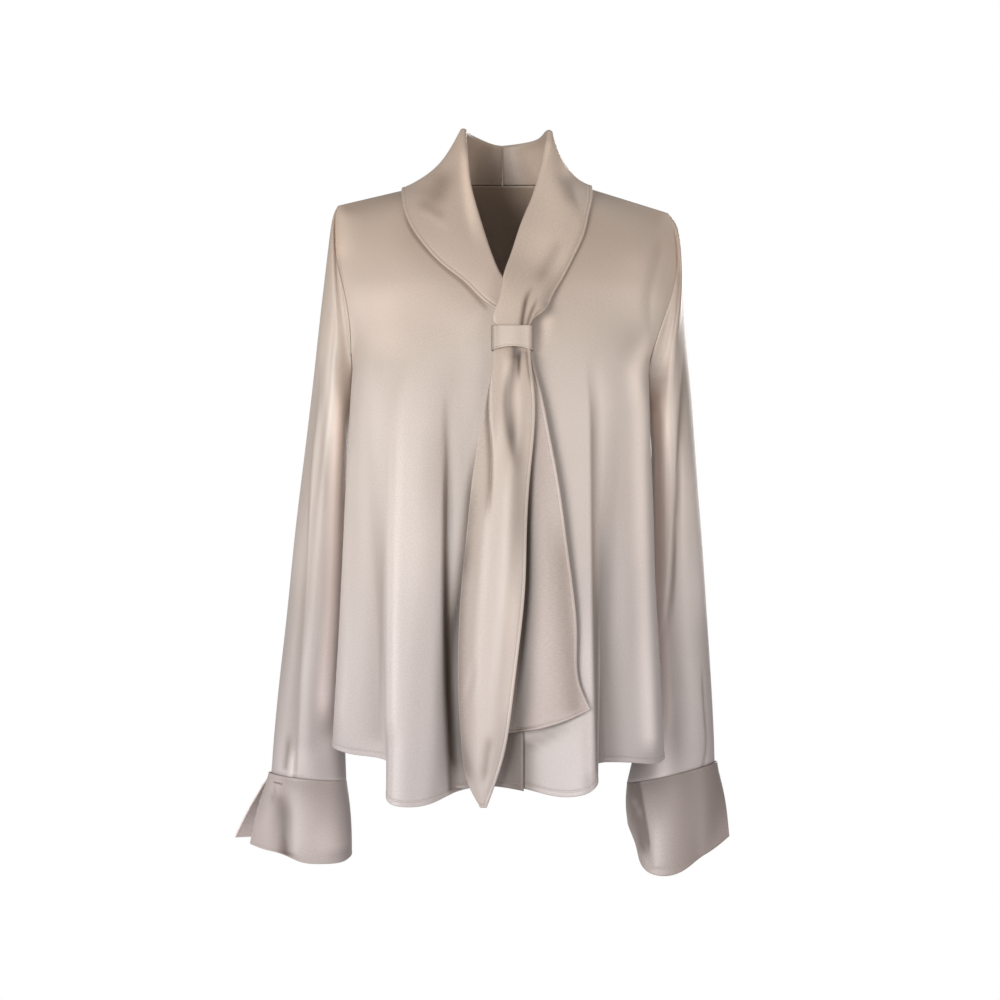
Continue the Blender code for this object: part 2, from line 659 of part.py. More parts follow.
BODY_COLOUR = (0.60, 0.52, 0.47)
TIE_COLOUR = (0.56, 0.47, 0.41)
BUTTON_COLOUR = (0.50, 0.42, 0.37)


def main():
    for item in list(bpy.data.objects):
        bpy.data.objects.remove(item)
    collection = bpy.data.collections.new("blouse")
    bpy.context.scene.collection.children.link(collection)

    right = front(FRONT_RIGHT, HEM_RIGHT, FRONT_COLUMNS, BODY_STEPS)
    left = front(FRONT_LEFT, HEM_LEFT, FRONT_COLUMNS, BODY_STEPS)
    rear = back(BACK, BODY_STEPS, BACK_COLUMNS)
    cloth("front_right", right, BODY_COLOUR, collection)
    cloth("front_left", left, BODY_COLOUR, collection)
    cloth("back", rear, BODY_COLOUR, collection)

    tree = tree_of(right[:, ::-1], left, rear[:, ::-1])
    for name, rows, panel, edge, side, hem in (
        ("right", SLEEVE_RIGHT, right, 0, -1, CUFF_HEM_RIGHT),
        ("left", SLEEVE_LEFT, left, -1, 1, CUFF_HEM_LEFT),
    ):
        tube = sleeve(rows, armhole(panel, rear, edge, side), tree)
        cloth(f"sleeve_{name}", tube, BODY_COLOUR, collection, round_closed=True)
        band = cuff(rows[-1], hem, CUFF_COLUMNS, CUFF_ROWS)
        cloth(f"cuff_{name}", band, BODY_COLOUR, collection)
        button(f"cuff_button_{name}", band, collection)

    for name, stations, ties, panel, side in (
        ("right", COLLAR_RIGHT, TIE_RIGHT, right, 1),
        ("left", COLLAR_LEFT, TIE_LEFT, left, -1),
    ):
        neckline = half_neckline(rear, panel, -side)
        strip = collar_tie(stations, ties, neckline, tree, side)
        cloth(f"collar_tie_{name}", strip, TIE_COLOUR, collection)

    cloth("keeper", keeper(), TIE_COLOUR, collection, round_closed=True)


main()
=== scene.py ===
"""Looks of the tie-neck satin blouse: fine shells on its cloth's forms, with creases and seams.

Metres in the scene, millimetres in the tables, where `drop` is the distance down from the origin.
The front faces -Y and the wearer's right is at -X.
"""

import math
from collections import namedtuple

import bmesh
import bpy
import numpy as np
from mathutils import Matrix, Vector, noise
from mathutils.bvhtree import BVHTree


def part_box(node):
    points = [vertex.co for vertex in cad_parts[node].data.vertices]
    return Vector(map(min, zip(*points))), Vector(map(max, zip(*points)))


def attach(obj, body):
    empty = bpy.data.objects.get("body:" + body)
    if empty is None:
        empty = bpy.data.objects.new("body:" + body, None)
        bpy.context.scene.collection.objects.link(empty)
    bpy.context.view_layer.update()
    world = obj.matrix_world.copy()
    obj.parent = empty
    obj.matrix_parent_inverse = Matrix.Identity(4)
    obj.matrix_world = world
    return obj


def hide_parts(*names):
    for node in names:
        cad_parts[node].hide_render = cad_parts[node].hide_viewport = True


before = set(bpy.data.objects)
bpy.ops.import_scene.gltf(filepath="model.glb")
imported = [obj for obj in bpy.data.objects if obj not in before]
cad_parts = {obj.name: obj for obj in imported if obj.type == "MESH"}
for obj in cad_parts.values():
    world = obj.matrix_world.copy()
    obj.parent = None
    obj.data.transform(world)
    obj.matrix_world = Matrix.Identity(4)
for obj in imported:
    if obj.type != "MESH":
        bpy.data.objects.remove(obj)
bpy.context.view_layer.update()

MM = 0.001
TINY = 1e-9  # divides in place of a length or share of nothing
FAR = 1e3  # stands for the distance from an edge that isn't finished

HALF_WALL = 0.45  # half the wall of a single cloth
DOUBLE_HALF_WALL = 0.6  # of the collar, ties, cuffs and keeper
HALF_JOIN = 0.38  # from a seam line to the middle of each wall's end
CUFF_JOIN = 0.8  # from the sleeve's end to the cuff's top
SLEEVE_JOIN = 0.4  # from an armhole's edge to the sleeve's
UNDERARM_STEP = 0.9  # how much more that is at the underarm
UNDERARM_SPREAD = 3  # power by which this dies out towards the shoulder
SEWN_ABOVE = 1.3  # from the neckline's edge to the collar's stand
HALF_SLIT = 0.5  # half the step between the collar's halves at the centre of the back
SLEEVE_CLEARANCE = 3.0  # between the sleeves and the body
FACING_BODY = -0.1  # a sleeve's points face the body where their turn's cosine is below this
SQUARE_SHARE = 0.85  # how squarely a point must lie over a surface for its side to be trusted

PLAN_POINTS = 160  # of a section's fine line, before it is cut into its columns
CREASE_POINTS = 48
FRONT_COLUMNS = 150
BACK_COLUMNS = 128
CUFF_COLUMNS = 132
KEEPER_COLUMNS = 96
CUFF_ROWS = 30
BODY_STEPS = (12, 12, 6, 6, 6, 6, 6, 7, 12, 18, 26)  # rows from each section to the next
SLEEVE_STEPS = (8, 8, 9, 12, 16, 18, 18, 16)
FALL_POINTS, ROLL_POINTS, STAND_POINTS = 40, 9, 20
COARSE_FALL, COARSE_ROLL, COARSE_STAND = 5, 3, 3
LAID_SHARE = 0.2  # how far across the fall its edge's own step fades out
PUSHED_SHARE = 0.65  # how far across the fall it is kept off the body
LAID_FROM, LAID_TO = 0.9, 0.95  # shares of the collar's length where the laying fades out
TIE_LENGTH_ROWS = 120
COLLAR_LENGTH_ROWS = 110
SLEEVE_SOFTENING, COLLAR_SOFTENING = 3, 3

FOLD_START = 165.0  # drop at which the hem's folds begin
FOLD_GROWTH = 1.25  # power by which they grow from there
SEAM_STAYS = 12  # power that keeps the back's folds away from its side seams
GRAIN_SHIFT = 0.06  # how far a front's columns lean towards its seam
TUCK_CORNER = 0.6  # how far back the tuck past a front's widest point turns in
V_POINT, UNDERARM = 5, 7  # numbers of the sections there
ARMHOLE_END, SIDE_END = 66.0, 78.0  # degrees at which the sections' arcs end
ARMHOLE_ROWS = sum(BODY_STEPS[:UNDERARM])
SLEEVE_TURNS = math.pi * np.arange(2 * ARMHOLE_ROWS) / ARMHOLE_ROWS

# Distances from a finished edge at which lines of points run, so that its roll and stitches show.
EDGE_LINES = np.array([0, 0.5, 1.2, 1.9, 2.4, 2.8, 3.2, 3.9, 4.8, 5.4, 6.0, 8.0])
STITCH_LINE, HEM_LINE = 5, 9  # the lines of points that the stitches lie on
SHORTEST_EDGE = 15.0  # a part narrower than this has its lines closer together
HEM_MARGIN = 0.01  # between the last even row and the hem's own lines, in sections
FRONT_WIDTH = 290.0  # lengths that these lines are set out by
LAST_SECTION = 185.0
CUFF_HALF_ROUND, CUFF_HALF_DEEP = 150.0, 40.0

Body = namedtuple("Body", "in_x in_y in_drop wide_x wide_y out_x out_y out_drop square")
FRONT_RIGHT = (
    Body(-86, 0, 0, -184, 0, -184, 0, 23, 2.0),
    Body(-80, -26, 8, -188, -16, -188, -16, 44, 2.0),
    Body(-68, -56, 30, -186, -32, -186, -32, 74, 2.2),
    Body(-48, -84, 62, -178, -44, -178, -44, 108, 2.3),
    Body(-24, -104, 93, -171, -50, -171, -50, 140, 2.4),
    Body(-2, -116, 118, -168, -48, -168, -48, 170, 2.4),
    Body(18, -123, 150, -168, -44, -167, -28, 200, 2.4),
    Body(18, -126, 185, -168, -44, -163, 4, 220, 2.4),
    Body(18, -129, 240, -170, -44, -162, 6, 255, 2.4),
    Body(18, -131, 330, -175, -44, -161, 7, 335, 2.4),
    Body(18, -133, 460, -180, -44, -164, 8, 450, 2.4),
    Body(18, -135, 652, -189, -44, -170, 9, 613, 2.4),
)
FRONT_LEFT = (
    Body(74, 0, -1, 177, 0, 177, 0, 31, 2.0),
    Body(69, -26, 8, 184, -16, 184, -16, 54, 2.0),
    Body(59, -56, 30, 186, -32, 186, -32, 85, 2.2),
    Body(42, -83, 62, 180, -44, 180, -44, 120, 2.3),
    Body(20, -102, 93, 170, -50, 170, -50, 150, 2.4),
    Body(0, -113, 118, 160, -48, 160, -48, 180, 2.4),
    Body(-10, -120, 150, 156, -42, 152, -28, 208, 2.4),
    Body(-10, -123, 185, 156, -42, 148, 4, 226, 2.4),
    Body(-10, -126, 240, 156, -42, 147, 6, 260, 2.4),
    Body(-10, -128, 330, 159, -42, 148, 7, 340, 2.4),
    Body(-10, -130, 460, 163, -42, 149, 8, 455, 2.4),
    Body(-10, -132, 650, 171, -42, 153, 9, 622, 2.4),
)

Back = namedtuple("Back", "in_y in_drop out_y square")
BACK_CENTRE = -4.0
BACK = (
    Back(66, -6, 0, 2.0),
    Back(79, 20, 17, 2.0),
    Back(92, 46, 34, 2.1),
    Back(102, 80, 46, 2.2),
    Back(108, 115, 51, 2.3),
    Back(111, 145, 47, 2.3),
    Back(112, 175, 30, 2.3),
    Back(113, 205, 4, 2.3),
    Back(114, 250, 6, 2.3),
    Back(117, 335, 7, 2.3),
    Back(122, 455, 8, 2.3),
    Back(132, 655, 9, 2.3),
)

# The hems of the fronts: points in x, y and drop, from the front edge to the side seam.
HEM_RIGHT = (
    (18, -133, 653), (-15, -132, 648), (-40, -126, 651), (-58, -125, 657), (-78, -142, 665),
    (-106, -152, 668), (-123, -148, 664), (-126, -135, 653), (-122, -118, 636), (-126, -101, 625),
    (-142, -89, 621), (-168, -72, 619), (-187, -50, 614), (-185, -22, 611), (-170, 9, 613),
)
HEM_LEFT = (
    (-10, -130, 646), (20, -130, 651), (45, -136, 657), (70, -144, 658), (88, -146, 653),
    (96, -138, 645), (93, -122, 633), (97, -106, 627), (114, -96, 626), (141, -83, 628),
    (163, -64, 630), (172, -42, 626), (166, -15, 623), (153, 9, 622),
)

Fold = namedtuple("Fold", "at out half_width")
BACK_FOLDS = (  # `at` runs from -1 at the right side seam to 1 at the left one
    Fold(-0.72, 11, 0.12),
    Fold(-0.47, -13, 0.12),
    Fold(-0.22, 17, 0.15),
    Fold(0.04, -15, 0.13),
    Fold(0.30, 18, 0.14),
    Fold(0.55, -12, 0.12),
    Fold(0.76, 7, 0.10),
)

# One section of a sleeve: its outer and inner side, its half depths, and how far its front and back
# are bowed out sideways.
Ring = namedtuple("Ring", "out_x out_y out_drop in_x in_y in_drop front back bow")
SLEEVE_RIGHT = (
    Ring(-191, 4, 40, -166, 12, 238, 56, 46, 4),
    Ring(-197, 6, 85, -171, 18, 262, 56, 50, 2),
    Ring(-204, 10, 145, -174, 22, 295, 54, 54, 0),
    Ring(-215, 18, 236, -175, 28, 345, 51, 56, 0),
    Ring(-229, 27, 347, -177, 34, 420, 49, 54, 0),
    Ring(-241, 33, 458, -179, 38, 500, 46, 50, 0),
    Ring(-253, 34, 569, -180, 39, 587, 43, 46, 0),
    Ring(-260, 31, 648, -178, 36, 657, 39, 42, 0),
)
SLEEVE_LEFT = (
    Ring(189, 4, 50, 156, 12, 246, 56, 46, 12),
    Ring(192, 7, 90, 160, 19, 270, 57, 50, 8),
    Ring(196, 13, 145, 162, 27, 302, 55, 54, 3),
    Ring(205, 22, 236, 161, 37, 347, 51, 56, 0),
    Ring(214, 32, 347, 159, 46, 420, 49, 54, 0),
    Ring(222, 40, 458, 156, 51, 500, 46, 50, 0),
    Ring(229, 43, 569, 150, 53, 590, 43, 46, 0),
    Ring(232, 41, 637, 136, 50, 661, 39, 42, 0),
)

CUFF_LAP = 14.0  # degrees by which the cuff's ends overlap at its top
CUFF_STEP = 3.5  # how far the upper lap stands off the under lap
LAP_SPREAD = 6  # power by which that step dies out along the cuff
CUFF_FLARE = 2.5  # how far the band bulges between its top and its hem
# Their hems, from the upper lap's corner, round the front, to the under lap's corner.
CUFF_HEM_RIGHT = (
    (-281, -4, 724), (-262, -17, 729), (-244, -23, 733), (-225, -25, 741), (-202, -20, 744),
    (-182, -6, 744), (-173, 16, 741), (-176, 52, 737), (-206, 78, 732), (-245, 75, 727),
    (-279, 56, 723), (-301, 32, 721),
)
CUFF_HEM_LEFT = (
    (246, 8, 717), (226, -4, 731), (212, -11, 739), (196, -14, 751), (174, -14, 758),
    (157, -8, 755), (145, 24, 732), (137, 62, 707), (150, 94, 705), (185, 104, 710),
    (218, 90, 716), (236, 62, 718),
)

# One station of the collar: its outer edge, the roll line at the neck, how far along the half
# neckline it is sewn (0 at the centre of the back, 1 at the point of the V), how far the fall sags,
# the radius of its roll, and how far its edge is off the body.
FREE = -1.0  # a station whose inner edge is only turned under
TURNED_UNDER = 4.0
Collar = namedtuple("Collar", "edge_x edge_y edge_drop roll_x roll_y roll_drop sewn sag roll lift")
COLLAR_RIGHT = (
    Collar(-4, 96, 38, -4, 62, -50, 0.00, 2, 3.5, 2.8),
    Collar(-28, 95, 37, -13, 60, -51, 0.06, 2, 3.5, 2.8),
    Collar(-60, 86, 28, -27, 49, -55, 0.14, 4, 3.5, 3.0),
    Collar(-100, 46, 14, -41, 24, -60, 0.27, 7, 3.5, 3.0),
    Collar(-113, 4, 4, -45, -2, -59, 0.37, 9, 3.5, 3.6),
    Collar(-111, -28, 24, -43, -20, -36, 0.45, 4, 3.5, 3.0),
    Collar(-102, -60, 51, -39, -43, 1, 0.55, -2, 3.5, 2.4),
    Collar(-88, -84, 72, -31, -66, 34, 0.66, -3, 3.5, 2.4),
    Collar(-66, -102, 96, -21, -92, 68, 0.78, -2, 3.0, 2.4),
    Collar(-41, -115, 117, -9, -111, 101, 0.90, -1, 2.0, 3.2),
    Collar(-22, -123, 136, 5, -121, 120, FREE, 0, 1.5, 3.4),
)
COLLAR_LEFT = (
    Collar(-4, 96, 38, -4, 62, -50, 0.00, 2, 3.5, 2.8),
    Collar(20, 95, 37, 8, 60, -51, 0.06, 2, 3.5, 2.8),
    Collar(50, 87, 29, 27, 50, -53, 0.14, 4, 3.5, 3.0),
    Collar(82, 46, 15, 41, 26, -58, 0.27, 6, 3.5, 3.0),
    Collar(92, 4, 4, 46, 0, -58, 0.37, 8, 3.5, 4.6),
    Collar(92, -20, 18, 43, -18, -36, 0.45, 4, 3.5, 3.6),
    Collar(88, -55, 41, 37, -37, -10, 0.54, -1, 3.5, 2.6),
    Collar(83, -76, 62, 28, -60, 20, 0.63, -3, 3.5, 2.4),
    Collar(72, -98, 86, 16, -87, 51, 0.74, -2, 3.5, 2.4),
    Collar(60, -112, 110, 5, -111, 86, 0.86, -1, 3.0, 3.0),
    Collar(49, -125, 130, -3, -130, 112, FREE, 0, 2.0, 6.5),
    Collar(39, -133, 147, -8, -136.5, 137, FREE, 0, 1.5, 9.0),
)

# One section of a free tie end: its two long edges, its place in y, and the depth of its fold.
Tie = namedtuple("Tie", "near_x near_drop far_x far_drop y fold belly")
TIE_RIGHT = (  # near: the edge that goes on from the collar's outer edge
    Tie(-3, 153, 26, 150, -131.5, 0.8, 0),
    Tie(-5, 176, 26, 176, -133.0, 0.8, 0),
    Tie(-8, 193, 27, 193, -134.0, 0.8, 0),
    Tie(-12, 228, 35, 228, -136.5, 1.5, 0),
    Tie(-14, 276, 45, 276, -139.0, 2.0, 0),
    Tie(-17, 324, 54, 324, -140.5, 2.5, 0),
    Tie(-22, 387, 63, 387, -142.0, 3.0, 0),
    Tie(-26, 440, 70, 440, -143.0, 3.0, 0),
    Tie(-29, 500, 74, 492, -144.0, 3.0, 2),
    Tie(-30, 550, 76, 536, -145.0, 3.0, 5),
    Tie(-30, 589, 88, 566, -146.0, 2.0, 10),
)
TIE_LEFT = (
    Tie(26, 159, -12, 160, -138.0, 1.2, 0),
    Tie(25, 176, -12, 176, -139.0, 1.2, 0),
    Tie(25, 192, -13, 192, -141.0, 1.5, 0),
    Tie(29, 232, -18, 232, -145.0, 2.5, 0),
    Tie(25, 315, -34, 315, -150.0, 4.0, 0),
    Tie(21, 380, -41, 380, -152.0, 4.5, 0),
    Tie(19, 440, -47, 440, -153.5, 4.5, 0),
    Tie(13, 500, -50, 500, -154.5, 4.0, 0),
    Tie(7, 550, -50, 550, -155.0, 3.0, 0),
    Tie(0, 600, -47, 600, -155.0, 2.0, 0),
    Tie(-9, 635, -41, 640, -155.0, 1.0, 0),
    Tie(-21, 668, -27, 668, -155.0, 0.0, 0),
)

KEEPER_TOP, KEEPER_HEIGHT = 163.0, 26.0
KEEPER_SIDES = (-15.5, 28.5)
KEEPER_BACK, KEEPER_FRONT = -127.2, -144.2
KEEPER_ROUND = 5.0
KEEPER_CORNER_POINTS, KEEPER_HALF_ROWS = 12, 12
KEEPER_SLOPE = 1.6  # how far its foot leans forward of its top
KEEPER_ARCH = 4.6  # how far its foot arches up in front
FOLD_ROLL = 1.3  # radius of the tie ends' folded edge where they enter the keeper

BUTTON_SIDES = 40
BUTTON_PROFILE = (  # radius and height, from its back to its sunk middle
    (4.2, -1.0), (4.8, -0.8), (5.0, -0.2), (4.95, 0.5), (4.6, 0.95), (4.1, 0.95), (3.6, 0.6), (3.1, 0.45)
)
HOLE_SPREAD, HOLE_RADIUS, HOLE_DEPTH, HOLE_SIDES = 1.2, 0.55, 8.0, 12
THREAD_HEIGHT, THREAD_ASIDE, THREAD_SPARE = 0.75, 0.25, 0.6  # of two threads from hole to hole
BUTTONHOLE_PLACE = (13.5, 33.0, 47.0)  # down from the cuff's top, and its ends along it
BUTTONHOLE_STITCHES, BUTTONHOLE_WIDTH = 26, 2.0
LIP_LIFT, LIP_INSET = 0.2, 0.15  # of the stitches across its lips
BAR_LIFT, BAR_SHIFTS = 0.25, (-0.3, 0.0, 0.3)  # of the three stitches of an end's bar
SLIT_LIFT, SLIT_HALF = 0.12, 0.22
STITCH_SIDES = 5
STITCH_PITCH, STITCH_LENGTH = 3.0, 2.3
STITCH_RINGS = ((-1.0, 0.06), (-0.7, 0.14), (0.7, 0.14), (1.0, 0.06))  # place in half lengths, radius
STITCH_LIFT = 0.05
DIRECTION_SPAN = 0.4  # how much of its pitch, to each side, a stitch's direction is read over
ONE_STITCH = 9.0  # a pitch longer than the line, so that it holds one stitch

RIM_SHARE = 0.7  # how far the rounded rim of an edge stands out, in half walls
INNER_GROOVE = 0.1  # the most that a groove shows inside the cloth
GROOVE_WIDTH = 0.45
ROLL_FULLNESS = 4  # power that keeps a roll full until close to its stitches
Roll = namedtuple("Roll", "line swell groove")  # a finished edge's stitch line, roll and groove
HEM_ROLL = Roll(HEM_LINE, 0.25, 0.45)
LAP_ROLL = Roll(STITCH_LINE, 0.1, 0.2)
CUFF_ROLL = Roll(STITCH_LINE, 0.12, 0.0)
TIE_ROLL = Roll(STITCH_LINE, 0.5, 0.35)
KEEPER_ROLL = Roll(3, 0.25, 0.12)

Waves = namedtuple("Waves", "amount wide tall seed")  # slow unevenness of hanging cloth
BODY_WAVES = Waves(1.0, 34, 120, 4.1)
SLEEVE_WAVES = Waves(0.9, 30, 130, 7.7)
WAVE_GROWTH = 0.3  # power by which the body's waves follow its folds
EVENED_FROM, EVENED_TO, EVENED_TIMES = 110, 300, 60  # drops between which the fronts are evened
EVENED_FADE, EVENED_ASIDE = 40, 30
PANEL_FADE, SLEEVE_FADE = 22, 25  # from an edge to where the waves are full
SLEEVE_TOP_FADE, CUFF_TOP_FADE = 15, 12  # from a seam to where creases are full
SLEEVE_OUTSIDE, SLEEVE_OUTSIDE_GAIN = 0.4, 3  # where on a sleeve the waves stand, off the body
LAP_TOP, LAP_FADE = 150, 10  # drop where the fronts' rolled edge begins, and over what it grows
KEEPER_CLEAR, KEEPER_FADE = 4, 8  # how far in the keeper the ties' creases end, and over what
HEM_ENDS = slice(4, -4)  # the hem's stitches stop short of its corners
LAST_COLLAR_ROWS = 5  # rows past the collar's end, from which the tie's inner edge is finished

NEAR_CLOSE = 0.25  # share of a tube's way round that counts as near the line where it closes
FACING_GAIN = 2.5  # how quickly creases fade out where the cloth turns away
DARKEST, LIGHTEST = 0.12, 1.8  # the least and most that the creases' painted shade and light leave of the cloth's colour
KEEPER_SHADE = 0.45  # how much painted shade darkens the keeper's colour at its sides, where it turns away
KEEPER_RIGHT_SHADE, KEEPER_LEFT_SHADE = (7, 6), (3.5, 3)  # how far in the painted shade starts, and over what it deepens
